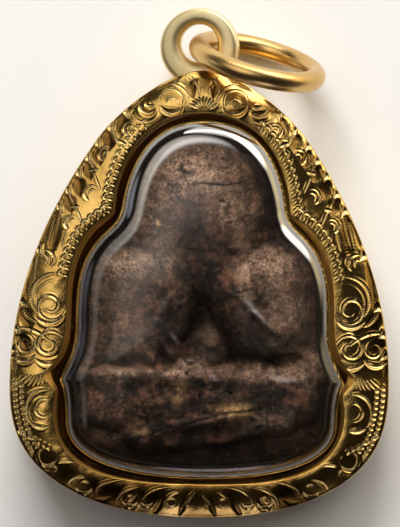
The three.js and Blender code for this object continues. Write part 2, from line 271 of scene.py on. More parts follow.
# %% [markdown]
# ## Meshes from grids of points
# Every piece here is swept: a section runs along an outline or round an axis. Blender could sweep it with
# a curve bevel or a screw modifier. A grid of computed points was chosen, because the engraving and the
# clay's relief move single points, and values such as how worn a place is can be stored beside them for
# the materials.


# %% Faces between neighbours in a grid
def grid_faces(rows, columns, close_rows, close_columns):
    row = np.arange(rows if close_rows else rows - 1)[:, None]
    column = np.arange(columns if close_columns else columns - 1)[None]
    next_row, next_column = (row + 1) % rows, (column + 1) % columns
    corners = [
        row * columns + column,
        row * columns + next_column,
        next_row * columns + next_column,
        next_row * columns + column,
    ]
    return np.stack(corners, axis=-1).reshape(-1, 4)


print("A tube of 3 by 4 points has", len(grid_faces(3, 4, False, True)), "faces")


# %% A piece from its grid
def grid_mesh(name, points, close_rows, close_columns, material, values=None, flip=False):
    """A mesh through points[row, column, xyz] in millimetres; values are stored on its points by name."""
    quads = grid_faces(*points.shape[:2], close_rows, close_columns)
    if flip:
        quads = quads[:, ::-1]
    mesh = bpy.data.meshes.new(name)
    mesh.vertices.add(points.shape[0] * points.shape[1])
    mesh.vertices.foreach_set("co", (points.reshape(-1, 3) * 0.001).ravel())
    mesh.loops.add(quads.size)
    mesh.loops.foreach_set("vertex_index", np.ascontiguousarray(quads).ravel().astype(np.int32))
    mesh.polygons.add(len(quads))
    mesh.polygons.foreach_set("loop_start", np.arange(0, quads.size, 4, dtype=np.int32))
    mesh.polygons.foreach_set("use_smooth", np.ones(len(quads), bool))
    mesh.update(calc_edges=True)
    for key, value in (values or {}).items():
        layer = mesh.attributes.new(key, "FLOAT", "POINT")
        layer.data.foreach_set("value", np.asarray(value, np.float32).ravel())
    mesh.materials.append(material)
    piece = bpy.data.objects.new(name, mesh)
    bpy.context.scene.collection.objects.link(piece)
    print(name, "has", 2 * len(quads), "triangles")
    return piece


# %% [markdown]
# ## Colours and nodes
# A material is a small tree of nodes that ends in one shader. The nodes could be dragged in by hand. In a
# script, one function that adds a node with its settings and links keeps every tree in the same form.
# Colours are picked as web codes, which are what the eye sees on a screen, and turned to the linear
# values that light is added in.


# %% Web colours as linear values
def srgb(code, alpha=1.0):
    values = [int(code[k : k + 2], 16) / 255 for k in (1, 3, 5)]
    return [v / 12.92 if v <= 0.04045 else ((v + 0.055) / 1.055) ** 2.4 for v in values] + [alpha]


print("Mid grey is", round(srgb("#808080")[0], 3), "in linear light")

# %% A new material, and one node with its settings and links
# A colour mix's sockets share their names with its number mix, so they go by their places in the list
COLOUR_MIX = dict(data_type="RGBA")
MIX_SHARE, MIX_FROM, MIX_TO, MIX_RESULT = 0, 6, 7, 2


def new_material(name):
    material = bpy.data.materials.new(name)
    material.use_nodes = True
    shader = next(n for n in material.node_tree.nodes if n.type == "BSDF_PRINCIPLED")
    return material, material.node_tree, shader


def add_node(tree, kind, inputs=None, settings=None, stops=()):
    """Adds a node. inputs gives sockets, by name or place, a value or a link; stops are a ramp's colours."""
    node = tree.nodes.new("ShaderNode" + kind)
    for option, value in (settings or {}).items():
        setattr(node, option, value)
    for _ in stops[2:]:
        node.color_ramp.elements.new(0.5)
    for number, (place, colour) in enumerate(stops):
        node.color_ramp.elements[number].position = place
        node.color_ramp.elements[number].color = srgb(colour)
    for socket, value in (inputs or {}).items():
        if isinstance(value, bpy.types.NodeSocket):
            tree.links.new(value, node.inputs[socket])
        else:
            node.inputs[socket].default_value = value
    return node


print("A colour mix takes its share at socket", MIX_SHARE, "and gives its colour at", MIX_RESULT)


# %% A finish laid over part of a surface
def lay_over(tree, shader, mark, finish, roughness=None):
    """Where the mesh's value called mark is 1, finish is the colour, and roughness the roughness."""
    where = add_node(tree, "Attribute", settings=dict(attribute_name=mark)).outputs["Fac"]
    colour, rough = shader.inputs["Base Color"], shader.inputs["Roughness"]
    layers = {MIX_SHARE: where, MIX_FROM: colour.links[0].from_socket, MIX_TO: finish}
    tree.links.new(add_node(tree, "Mix", layers, COLOUR_MIX).outputs[MIX_RESULT], colour)
    if roughness is not None:
        layers = {"Value": where, "To Min": rough.links[0].from_socket, "To Max": roughness}
        tree.links.new(add_node(tree, "MapRange", layers).outputs[0], rough)


print("A finish takes a mark on the mesh, a colour and a roughness")


# %% [markdown]
# ## Camera
# The photograph looks straight down on the face of the pendant, which leans a little. The pendant could
# be turned instead, but then it would no longer lie square in its own frame, so the camera turns. It
# stands far away with a long lens, which keeps the tall dome from spreading over the band.

# %% Camera
PIXEL = 0.0842  # millimetres on the band for one pixel of the photograph
PHOTO_HEIGHT = 527
CAMERA_HEIGHT = 300.0
CAMERA_X = -0.29
CAMERA_Y = 3.03
SENSOR = 24
LEAN = 0.9


def aim_camera():
    data = bpy.data.cameras.new("camera")
    camera = bpy.data.objects.new("camera", data)
    bpy.context.scene.collection.objects.link(camera)
    data.sensor_fit = "VERTICAL"
    data.sensor_height = SENSOR
    data.lens = SENSOR * (CAMERA_HEIGHT - BAND_EDGE) / (PHOTO_HEIGHT * PIXEL)
    data.clip_start = 0.01
    camera.location = (CAMERA_X * 0.001, CAMERA_Y * 0.001, CAMERA_HEIGHT * 0.001)
    camera.rotation_euler = (0, 0, math.radians(LEAN))
    bpy.context.scene.camera = camera
    return camera


camera = aim_camera()
print("The lens is", round(camera.data.lens), "mm long")

# %% [markdown]
# ## Gold plate, polished and handled
# Cases like this one are gold-plated brass sheet, rolled, pressed and polished. Years of handling leave
# soft blotches in the polish, and that is what the eye reads as old gold and not yellow plastic. A
# picture of gold could be wrapped round it, but noise at the right size needs no picture and never
# repeats. A metal keeps the default IOR, so its colour comes from the base colour alone. Polished plate
# has a roughness near 0.2.

# %% Polished plate in two blotchy tones
BLOTCH_WIDTH = 2.86  # the dull marks that a fingertip leaves on polish are about 3 mm wide
POLISH_WIDTH = 0.2  # polishing lines are near 0.01 mm wide, so they are drawn coarser to show at all
POLISH_DEPTH = 0.02


def gold_plate(name, bright, deep, roughness):
    material, tree, shader = new_material(name)
    shader.inputs["Metallic"].default_value = 1
    place = add_node(tree, "TexCoord").outputs["Object"]
    size = {"Vector": place, "Scale": 1000 / BLOTCH_WIDTH, "Detail": 3.0, "Roughness": 0.55}
    blotch = add_node(tree, "TexNoise", size).outputs[0]
    size = {"Vector": place, "Scale": 1000 / POLISH_WIDTH, "Detail": 3.0, "Roughness": 0.6}
    polish = add_node(tree, "TexNoise", size).outputs[0]
    tones = {MIX_SHARE: blotch, MIX_FROM: srgb(bright), MIX_TO: srgb(deep)}
    tone = add_node(tree, "Mix", tones, COLOUR_MIX).outputs[MIX_RESULT]
    dullness = {"Value": blotch, "To Min": roughness * 0.75, "To Max": roughness * 1.3}
    lines = {"Height": polish, "Strength": 0.6, "Distance": POLISH_DEPTH * 0.001}
    tree.links.new(tone, shader.inputs["Base Color"])
    tree.links.new(add_node(tree, "MapRange", dullness).outputs[0], shader.inputs["Roughness"])
    tree.links.new(add_node(tree, "Bump", lines).outputs[0], shader.inputs["Normal"])
    return material, tree, shader


print("Blotches", BLOTCH_WIDTH, "mm wide are", round(1000 / BLOTCH_WIDTH), "to a metre")


# %% [markdown]
# ## Hand-engraved gold
# The band was cut with a polished graver. The cuts are given a paler colour, a painted highlight that stands
# for the glints of their walls. The foot and the hollows are painted brown, painted shade that stands for the
# dark reflections there. The lip beside the dome was left matt, and its darker colour is partly painted half
# shade. One gold for all would show the pattern by its shadows alone, so the mesh stores where each of these
# lies and the material lays them over the plate.

# %% Engraved gold plate
engraved_gold, engraved_tree, engraved_shader = gold_plate("engraved gold plate", "#e6c67a", "#bd9248", 0.2)
# Painted highlight: a paler colour in the cuts
lay_over(engraved_tree, engraved_shader, "cut", srgb("#f6dfa4"), 0.22)
# Painted shade: dark brown on the foot and in the hollows
lay_over(engraved_tree, engraved_shader, "painted_shade", srgb("#5c3c14"))
# The matt lip, whose darker colour is partly painted half shade
lay_over(engraved_tree, engraved_shader, "satin", srgb("#b08540"), 0.5)
print(engraved_gold.name, "has", len(engraved_tree.nodes), "nodes")

# %% [markdown]
# ## Strokes of the engraver
# The band carries a traditional scroll pattern: palmettes at the top, hooks and spirals down the sides,
# leaves at the foot. It could be a drawn picture used as a bump, but a bump casts no shadow and gets lost
# in other views. So each stroke is a row with its place, size and width, and is cut into the mesh. Only
# the right half is listed, because the left half mirrors it.

# %% Round strokes: places are shares of the case's half width and height, radii are millimetres
ARCS = [
    dict(cut="palmette scroll", x=0.169, y=0.071, r=1.01, r_end=1.01, start=220, sweep=-245, width=0.13),
    dict(cut="palmette crescent", x=0.159, y=0.069, r=1.18, r_end=1.01, start=340, sweep=-125, width=0.35),
    dict(cut="palmette eye", x=0.169, y=0.076, r=0.51, r_end=0.42, start=170, sweep=-190, width=0.1),
    dict(cut="small scroll eye", x=0.285, y=0.074, r=0.34, r_end=0.34, start=350, sweep=-160, width=0.25),
    dict(cut="small scroll crescent", x=0.29, y=0.08, r=0.76, r_end=0.67, start=355, sweep=-150, width=0.35),
    dict(cut="small scroll under", x=0.3, y=0.083, r=1.43, r_end=1.26, start=342, sweep=-115, width=0.13),
    dict(cut="hook", x=0.378, y=0.132, r=0.48, r_end=0.69, start=140, sweep=-225, width=0.12),
    dict(cut="hook weight", x=0.378, y=0.132, r=0.63, r_end=0.67, start=25, sweep=-95, width=0.22),
    dict(cut="hook eye", x=0.378, y=0.132, r=0.2, r_end=0.3, start=160, sweep=-200, width=0.12),
    dict(cut="hook", x=0.501, y=0.19, r=0.53, r_end=0.76, start=140, sweep=-225, width=0.12),
    dict(cut="hook weight", x=0.501, y=0.19, r=0.69, r_end=0.74, start=25, sweep=-95, width=0.22),
    dict(cut="hook eye", x=0.501, y=0.19, r=0.2, r_end=0.3, start=160, sweep=-200, width=0.12),
    dict(cut="hook", x=0.575, y=0.277, r=0.53, r_end=0.76, start=140, sweep=-225, width=0.12),
    dict(cut="hook weight", x=0.575, y=0.277, r=0.69, r_end=0.74, start=25, sweep=-95, width=0.22),
    dict(cut="hook eye", x=0.575, y=0.277, r=0.2, r_end=0.3, start=160, sweep=-200, width=0.12),
    dict(cut="hook", x=0.68, y=0.343, r=0.48, r_end=0.69, start=140, sweep=-225, width=0.12),
    dict(cut="hook weight", x=0.68, y=0.343, r=0.63, r_end=0.67, start=25, sweep=-95, width=0.22),
    dict(cut="hook eye", x=0.68, y=0.343, r=0.2, r_end=0.3, start=160, sweep=-200, width=0.12),
    dict(cut="leaf hook", x=0.819, y=0.429, r=0.84, r_end=0.67, start=70, sweep=170, width=0.19),
    dict(cut="leaf hook eye", x=0.829, y=0.429, r=0.42, r_end=0.34, start=80, sweep=150, width=0.13),
    dict(cut="big spiral", x=0.789, y=0.531, r=0.34, r_end=1.43, start=340, sweep=-560, width=0.17),
    dict(cut="big spiral weight", x=0.789, y=0.531, r=1.52, r_end=1.43, start=325, sweep=-115, width=0.29),
    dict(cut="big spiral leaf", x=0.768, y=0.513, r=2.1, r_end=1.85, start=105, sweep=-160, width=0.2),
    dict(cut="big spiral inner", x=0.763, y=0.516, r=1.68, r_end=1.52, start=100, sweep=-140, width=0.12),
    dict(cut="edge leaf", x=0.837, y=0.52, r=1.6, r_end=1.85, start=350, sweep=-75, width=0.22),
    dict(cut="inner spiral", x=0.791, y=0.618, r=0.34, r_end=1.35, start=90, sweep=470, width=0.19),
    dict(cut="inner spiral weight", x=0.791, y=0.623, r=1.52, r_end=1.35, start=325, sweep=-130, width=0.3),
    dict(cut="outer spiral", x=0.917, y=0.618, r=0.34, r_end=0.93, start=160, sweep=-470, width=0.15),
    dict(cut="outer spiral weight", x=0.922, y=0.625, r=1.26, r_end=1.09, start=325, sweep=-115, width=0.29),
    dict(cut="tab scroll", x=0.812, y=0.759, r=0.76, r_end=0.76, start=120, sweep=-235, width=0.17),
    dict(cut="tab scroll outer", x=0.812, y=0.761, r=1.6, r_end=1.6, start=105, sweep=-165, width=0.22),
    dict(cut="tab scroll weight", x=0.812, y=0.763, r=1.6, r_end=1.43, start=315, sweep=-60, width=0.24),
    dict(cut="corner ring", x=0.792, y=0.868, r=0.76, r_end=0.76, start=120, sweep=-360, width=0.15),
    dict(cut="corner ring weight", x=0.792, y=0.871, r=0.76, r_end=0.67, start=340, sweep=-140, width=0.25),
    dict(cut="corner scroll", x=0.59, y=0.933, r=0.76, r_end=0.59, start=345, sweep=-150, width=0.25),
    dict(cut="corner scroll eye", x=0.59, y=0.931, r=0.34, r_end=0.34, start=0, sweep=200, width=0.11),
    dict(cut="foot scroll", x=0.352, y=0.962, r=0.67, r_end=0.59, start=355, sweep=-165, width=0.27),
    dict(cut="foot scroll eye", x=0.352, y=0.96, r=0.34, r_end=0.25, start=0, sweep=220, width=0.11),
    dict(cut="foot scroll", x=0.262, y=0.964, r=0.51, r_end=0.42, start=345, sweep=-150, width=0.2),
    dict(cut="foot scroll eye", x=0.136, y=0.967, r=0.42, r_end=0.34, start=20, sweep=300, width=0.12),
]
print("Round strokes on each half:", len(ARCS))

# %% Long strokes: a start, a bend to lean towards and an end
LINES = [
    dict(cut="palmette leaf", start=(0.202, 0.031), bend=(0.107, 0.029), end=(0.069, 0.069), width=0.15),
    dict(cut="palmette lily", start=(0.092, 0.009), bend=(0.029, 0.022), end=(0.022, 0.056), width=0.13),
    dict(cut="stalk", start=(0.483, 0.127), bend=(0.471, 0.15), end=(0.439, 0.172), width=0.13),
    dict(cut="stalk", start=(0.402, 0.17), bend=(0.429, 0.163), end=(0.455, 0.161), width=0.22),
    dict(cut="stalk", start=(0.596, 0.194), bend=(0.585, 0.217), end=(0.558, 0.232), width=0.13),
    dict(cut="stalk", start=(0.574, 0.23), bend=(0.552, 0.252), end=(0.53, 0.275), width=0.13),
    dict(cut="stalk", start=(0.547, 0.225), bend=(0.574, 0.225), end=(0.595, 0.23), width=0.22),
    dict(cut="stalk", start=(0.704, 0.27), bend=(0.687, 0.295), end=(0.66, 0.315), width=0.13),
    dict(cut="stalk", start=(0.66, 0.312), bend=(0.644, 0.326), end=(0.627, 0.346), width=0.13),
    dict(cut="stalk", start=(0.644, 0.308), bend=(0.665, 0.308), end=(0.686, 0.312), width=0.22),
    dict(cut="long leaf", start=(0.734, 0.295), bend=(0.748, 0.346), end=(0.794, 0.402), width=0.15),
    dict(cut="long leaf", start=(0.765, 0.321), bend=(0.79, 0.362), end=(0.809, 0.402), width=0.12),
    dict(cut="long leaf", start=(0.706, 0.348), bend=(0.715, 0.379), end=(0.736, 0.406), width=0.12),
    dict(cut="feather", start=(0.971, 0.583), bend=(0.866, 0.576), end=(0.775, 0.616), width=0.19),
    dict(cut="feather", start=(0.739, 0.585), bend=(0.803, 0.571), end=(0.828, 0.596), width=0.13),
    dict(cut="foot leaf", start=(0.526, 0.958), bend=(0.559, 0.917), end=(0.354, 0.915), width=0.15),
    dict(cut="foot leaf", start=(0.425, 0.978), bend=(0.421, 0.935), end=(0.295, 0.931), width=0.16),
    dict(cut="foot leaf", start=(0.288, 0.971), bend=(0.285, 0.931), end=(0.116, 0.929), width=0.14),
    dict(cut="foot leaf", start=(0.177, 0.98), bend=(0.168, 0.946), end=(0.089, 0.942), width=0.13),
    dict(cut="foot leaf", start=(0.072, 0.978), bend=(0.047, 0.958), end=(0.011, 0.938), width=0.17),
    dict(cut="corner leaf", start=(0.684, 0.938), bend=(0.675, 0.913), end=(0.58, 0.911), width=0.15),
    dict(cut="corner leaf", start=(0.866, 0.853), bend=(0.882, 0.862), end=(0.881, 0.871), width=0.22),
    dict(cut="corner leaf", start=(0.739, 0.882), bend=(0.697, 0.875), end=(0.65, 0.879), width=0.15),
    dict(cut="corner dot", start=(0.749, 0.888), bend=(0.749, 0.895), end=(0.754, 0.904), width=0.22),
]
print("Long strokes on each half:", len(LINES))

# %% Broad hollows under the leaves
HOLLOWS = [
    dict(cut="palmette leaf", start=(0.03, 0.02), bend=(0.075, 0.03), end=(0.05, 0.065), width=0.6),
    dict(cut="palmette leaf", start=(0.12, 0.015), bend=(0.19, 0.02), end=(0.25, 0.045), width=0.7),
    dict(cut="small scroll", start=(0.3, 0.05), bend=(0.37, 0.07), end=(0.39, 0.095), width=0.6),
    dict(cut="long leaf", start=(0.78, 0.3), bend=(0.83, 0.35), end=(0.86, 0.41), width=0.7),
    dict(cut="big spiral leaf", start=(0.87, 0.41), bend=(0.92, 0.48), end=(0.92, 0.54), width=0.75),
    dict(cut="feather", start=(0.98, 0.61), bend=(0.99, 0.65), end=(0.97, 0.68), width=0.5),
    dict(cut="corner", start=(0.86, 0.87), bend=(0.8, 0.93), end=(0.7, 0.945), width=0.6),
    dict(cut="foot leaf", start=(0.62, 0.968), bend=(0.52, 0.975), end=(0.45, 0.955), width=0.55),
    dict(cut="foot leaf", start=(0.4, 0.99), bend=(0.36, 0.985), end=(0.31, 0.945), width=0.5),
    dict(cut="foot leaf", start=(0.24, 0.995), bend=(0.2, 0.98), end=(0.17, 0.945), width=0.5),
    dict(cut="foot leaf", start=(0.1, 0.995), bend=(0.07, 0.98), end=(0.07, 0.95), width=0.45),
]
print("Hollows on each half:", len(HOLLOWS))

# %% [markdown]
# ## From rows to strokes
# A graver goes in shallow, deepens and comes out again, so a cut is widest in its middle. Curve objects
# with a taper could show this and be cut away with a Boolean, which fails easily on hundreds of cuts.
# Here a stroke is a chain of fine points, each with half the cut's width there, and the band sinks
# wherever a chain is near.

# %% A stroke that is widest in its middle
CUT_SLOPE = 0.85
HOLLOW_SLOPE = 0.26
SCALLOP_SLOPE = 0.16
NICK_SLOPE = 0.6
LEAST_HALF_WIDTH = 0.03


def stroke(points, width, slope=CUT_SLOPE):
    """Points, half widths and the slope of the cut's walls."""
    share = np.linspace(0, 1, len(points))
    profile = np.sin(np.pi * np.clip(share, 0.02, 0.98)) ** 0.6
    return points, np.maximum(width * 0.75 * profile, LEAST_HALF_WIDTH), slope


def circle_points(centre, radius, angle):
    return centre + np.stack([np.cos(angle), np.sin(angle)], axis=1) * radius


print("A cut 0.2 mm wide is", round(0.2 * 0.75 * CUT_SLOPE, 3), "mm deep")


# %% Round and long strokes from their rows
def band_place(share):
    return np.array(share) * (BAND_HALF, -BAND_TALL) + (0, BAND_TOP_Y)


def arc_stroke(row):
    share = np.linspace(0, 1, max(int(abs(row["sweep"]) / 6), 8))
    angle = np.radians(row["start"] + row["sweep"] * share)
    radius = row["r"] + (row["r_end"] - row["r"]) * share
    return stroke(circle_points(band_place((row["x"], row["y"])), radius[:, None], angle), row["width"])


def bent_points(start, bend, end, count):
    share = np.linspace(0, 1, count)[:, None]
    return (1 - share) ** 2 * start + 2 * share * (1 - share) * bend + share * share * end


def line_stroke(row, slope=CUT_SLOPE):
    places = (band_place(row[key]) for key in ("start", "bend", "end"))
    return stroke(bent_points(*places, 24), row["width"], slope)


print("A hook is cut with", len(arc_stroke(ARCS[6])[0]), "points")


# %% Short strokes: a nick that starts wide, a straight dash and a small crescent
def nick(start, direction, length, width):
    direction = direction / np.linalg.norm(direction)
    share = np.linspace(0, 1, 12)
    half = np.maximum(width * (1 - share) ** 1.3, LEAST_HALF_WIDTH)
    return start + direction * share[:, None] * length, half, NICK_SLOPE


def dash(centre, direction, length, width):
    direction = direction / np.linalg.norm(direction)
    share = np.linspace(-0.5, 0.5, 9)[:, None]
    return stroke(centre + direction * share * length, width)


def crescent(centre, facing, radius, width):
    angle = facing + np.radians(np.linspace(-95, 95, 14))
    return stroke(circle_points(centre, radius, angle), width)


print("A nick starts", nick(np.zeros(2), np.array([0, 1.0]), 1.0, 0.34)[1].max(), "mm wide to each side")


# %% [markdown]
# ## Borders and fans
# Small repeated cuts fill the rest: a rope border beside the cut-out, two rows of beads low on the outer
# edge, fans, and nicks with a dark scallop between each pair of them. An array modifier along a curve
# could repeat them. A loop was chosen, because each mark is turned to its own stretch of edge.


# %% Places along an edge
def distance_at(path, share):
    """How far along a half outline a share of the case's height is reached."""
    return np.interp(share * BAND_TALL - BAND_TOP_Y, -path[:, 1], path_length(path))


def edge_frame(path, where):
    """A place on an outline, the way ahead and the way to the left."""
    here = along_path(path, np.array([where, where + 0.05]))
    ahead = (here[1] - here[0]) / np.linalg.norm(here[1] - here[0])
    return here[0], ahead, np.array([-ahead[1], ahead[0]])


half_way, _, _ = edge_frame(band_line, distance_at(band_line, 0.5))
print("At half height the outer edge is at", half_way.round(2), "mm")


# %% Rope border beside the cut-out, and beads low on the outer edge
ROPE_STEP = 0.6
BEAD_STEP = 0.5


def rope_border():
    cuts = []
    for where in np.arange(distance_at(cut_line, 0.135), distance_at(cut_line, 0.47), ROPE_STEP):
        place, ahead, left = edge_frame(cut_line, where)
        cuts.append(crescent(place + left * 0.72, math.atan2(left[1], left[0]), 0.25, 0.15))
        cuts.append(dash(place + left * 0.42 + ahead * 0.22, left - ahead * 0.4, 0.42, 0.12))
    return cuts


def bead_border():
    cuts = []
    for where in np.arange(distance_at(band_line, 0.705), distance_at(band_line, 0.86), BEAD_STEP):
        place, ahead, left = edge_frame(band_line, where)
        cuts.append(dash(place - left * 0.5, left, 0.42, 0.26))
        cuts.append(dash(place - left * 1.05 + ahead * 0.2, left + ahead * 0.3, 0.4, 0.24))
    return cuts


print("Cuts in the rope and the beads:", len(rope_border()), len(bead_border()))


# %% Rope at the corner, and the fans under the spirals and at the top
def corner_rope():
    places = [(0.945 - where * 0.062, 0.812 + where * 0.014) for where in np.arange(0, 2.6, 0.42)]
    return [dash(band_place(place), np.array([0.5, 1.0]), 0.6, 0.2) for place in places]


def side_fan():
    cuts = []
    for blade in range(9):
        turn = math.radians(238 + 9 * blade)
        way = np.array([math.cos(turn), math.sin(turn)])
        root = band_place((0.83, 0.645)) + way * (1.35 + 0.13 * blade)
        cuts.append(dash(root, way + np.array([0.25, 0]), 1.25, 0.17))
    return cuts


def top_fan():
    turns = [math.radians(90 - 15 * blade) for blade in range(-4, 5)]
    ways = [np.array([math.cos(turn), math.sin(turn)]) for turn in turns]
    return [dash(band_place((0, 0.094)) + way * 0.95, way, 0.8, 0.17) for way in ways]


print("Cuts in the corner rope and the two fans:", len(corner_rope()), len(side_fan()), len(top_fan()))


# %% Nicks in the outer edge, and a scallop between each pair that is close
NICKS = [0.09, 0.125, 0.161, 0.194, 0.228, 0.268, 0.305, 0.405, 0.522, 0.583, 0.63]
SCALLOP_GAP = 0.11
SCALLOP_WIDTH = 1.0


def scallops():
    cuts = []
    for above, below in zip(NICKS[:-1], NICKS[1:]):
        if below - above > SCALLOP_GAP:
            continue
        first, _, first_left = edge_frame(band_line, distance_at(band_line, above) + 0.35)
        middle, _, middle_left = edge_frame(band_line, distance_at(band_line, (above + below) / 2))
        last, _, last_left = edge_frame(band_line, distance_at(band_line, below))
        start, bend = first - first_left * 0.4, middle - middle_left * 0.85
        points = bent_points(start, bend, last - last_left * 1.45, 16)
        cuts.append(stroke(points, SCALLOP_WIDTH, SCALLOP_SLOPE))
    return cuts


def edge_nicks():
    cuts = []
    for share in NICKS:
        place, ahead, left = edge_frame(band_line, distance_at(band_line, share))
        cuts.append(nick(place - left * 0.1, ahead * 0.55 - left, 1.0, 0.34))
    return cuts


print("Scallops and nicks:", len(scallops()), len(edge_nicks()))


# %% Every stroke of the right half
strokes = [line_stroke(row, HOLLOW_SLOPE) for row in HOLLOWS]
strokes += [arc_stroke(row) for row in ARCS] + [line_stroke(row) for row in LINES]
strokes += rope_border() + bead_border() + corner_rope() + side_fan() + top_fan()
strokes += scallops() + edge_nicks()
print("Strokes on each half:", len(strokes))

# %% [markdown]
# ## How deep the graver went
# Each point of the band looks for the nearest point of each stroke. Inside a cut it sinks along the cut's
# walls, and just outside it rises a little, because a graver pushes up a small burr. Broad hollows sink
# softly and have no burr. The tool could be swept as a solid instead, but this gives depth and finish
# from one sum.

# %% Distance to a stroke
def near_stroke(x, y, points, half):
    """The grid places near a stroke, how far they are from it, and half its width there."""
    wide = half.max() * 2.4
    low, high = points.min(0) - wide, points.max(0) + wide
    near = np.nonzero((x > low[0]) & (x < high[0]) & (y > low[1]) & (y < high[1]))
    away = np.hypot(x[near][:, None] - points[None, :, 0], y[near][:, None] - points[None, :, 1])
    nearest = away.argmin(1)
    return near, away[np.arange(len(nearest)), nearest], half[nearest]


across = near_stroke(np.array([0.0, 0.1]), np.zeros(2), np.zeros((1, 2)), np.array([0.2]))
print("Two places, 0 and 0.1 mm from a stroke:", across[1])


# %% What all strokes do to the band
BURR = 0.22


def cut_depth(x, y):
    """How deep each place is cut in millimetres, and the shares of it that are cut and hollow."""
    sunk, deepest, share, burr, hollow = (np.zeros_like(x) for _ in range(5))
    for points, half, slope in strokes:
        near, away, width = near_stroke(x, y, points, half)
        inside = np.clip(1 - away / width, 0, 1)
        if slope < 0.5:
            sunk[near] += slope * width * smooth(0, 1, inside)
            hollow[near] = np.maximum(hollow[near], smooth(0.05, 0.35, inside))
            continue
        deepest[near] = np.maximum(deepest[near], inside * width * slope)
        share[near] = np.maximum(share[near], smooth(0.15, 0.9, inside))
        beside = np.exp(-(((away - width * 1.5) / (width * 0.55)) ** 2))
        burr[near] = np.maximum(burr[near], beside * width * BURR)
    return sunk + deepest - burr * (share < 0.05), share, hollow


beside_dome = np.linspace(0, BAND_HALF, 400)[None]
depth_there, _, _ = cut_depth(beside_dome, beside_dome * 0 + band_place((0, 0.53))[1])
print("Deepest cut at the big spiral:", depth_there.max().round(3), "mm")


# %% [markdown]
# ## Gold case
# The case is one pressed sheet: a side wall, an edge with a small chamfer, the arched band and a thin lip
# that slopes down to the dome. It could be a Bezier section swept along the outline, but the band's width
# changes all the way round. So both edges are divided alike and the section is laid between each pair of
# points.

# %% Matching places on the band's outer edge and on the cut-out
HALF_STATIONS = 880


def turn_of(points):
    return np.unwrap(np.arctan2(points[:, 0], points[:, 1]))


def matched_edges():
    """Both edges from the top to the foot; the cut-out's corners keep their place opposite the outer edge."""
    band_length, cut_length = path_length(band_line), path_length(cut_line)[-1]
    corners = np.concatenate([[0], cut_row_ends[[0, 2, 3]], [cut_length]])
    opposite = np.interp(turn_of(along_path(cut_line, corners)), turn_of(band_line), band_length)
    opposite[0], opposite[-1] = 0, band_length[-1]
    where = np.linspace(0, cut_length, HALF_STATIONS)
    return along_path(band_line, np.interp(where, corners, opposite)), along_path(cut_line, where)


outer_edge, inner_edge = matched_edges()
band_width = np.linalg.norm(inner_edge - outer_edge, axis=1)
inward = (inner_edge - outer_edge) / band_width[:, None]
print("The band is", band_width.min().round(2), "to", band_width.max().round(2), "mm wide")

# %% Width of the lip beside the dome: a share of the gap, and widest at the sides
LIP_SHARE = 0.7
gap_to_cover = np.hypot(*(inner_edge[:, None] - cover_line[None, ::6]).transpose(2, 0, 1)).min(1)
lip = gap_to_cover * LIP_SHARE * np.abs(inward[:, 0]) ** 1.5
print("The lip is up to", lip.max().round(2), "mm wide")

# %% The case's section, as distances in from the outer edge and heights
EDGE_CHAMFER = 0.22
LIP_DROP = 0.4
BAND_POINTS = 84
inside_rows = [(SHEET, BACK_PROUD), (SHEET, BAND_EDGE - SHEET * 1.2)]
inside_rows += [(SHEET + (band_width - SHEET) * s, band_level(s) - SHEET) for s in (0.3, 0.6, 0.9)]
lip_rows = [
    (band_width + lip * 0.9, CUT_EDGE - SHEET),
    (band_width + lip, CUT_EDGE - LIP_DROP),
    (band_width + lip * 0.93, CUT_EDGE - LIP_DROP + 0.06),
    (band_width + lip * 0.1, CUT_EDGE - 0.1),
    (band_width - 0.02, CUT_EDGE - 0.03),
]
band_reach = band_width - EDGE_CHAMFER - 0.09
band_rows = [(EDGE_CHAMFER + band_reach * s, band_level(s)) for s in np.linspace(1, 0, BAND_POINTS)]
wall_rows = [
    (EDGE_CHAMFER * 0.35, BAND_EDGE - EDGE_CHAMFER * 0.22),
    (EDGE_CHAMFER * 0.05, BAND_EDGE - EDGE_CHAMFER * 0.6),
    (0, BAND_EDGE - EDGE_CHAMFER),
    (0, (BAND_EDGE + BACK_PROUD) / 2),
    (0, BACK_PROUD + EDGE_CHAMFER),
    (EDGE_CHAMFER * 0.3, BACK_PROUD + EDGE_CHAMFER * 0.3),
    (EDGE_CHAMFER, BACK_PROUD),
]
case_rows = inside_rows + lip_rows + band_rows + wall_rows
print("The case's section has", len(case_rows), "points")

# %% Painted shade: where the foot is darkened towards brown
FOOT_SHADE = 0.92
FOOT_SHADE_WIDTH = 1.6


def foot_shade(x, y):
    """Painted shade: brown in uneven patches, from two thirds of the way down to the foot."""
    patches = smooth(-0.8, 0.4, lattice_noise(x, y, FOOT_SHADE_WIDTH, 8))
    return FOOT_SHADE * smooth(-0.66, -1.05, y / CUT_TOP_Y) * patches


print("Tarnish at the foot's middle:", foot_shade(np.zeros(1), np.array([-CUT_TOP_Y])).round(2))


# %% One half of the case, with the engraving cut into its band
CASE_SHIFT = -0.2
WORN_DEPTH = 0.012
WORN_WIDTH = 0.5
# Painted shade: how much the broad hollows and the scallops are darkened
HOLLOW_SHADE = 0.8
first_band = len(inside_rows + lip_rows)
band = slice(first_band, first_band + BAND_POINTS)


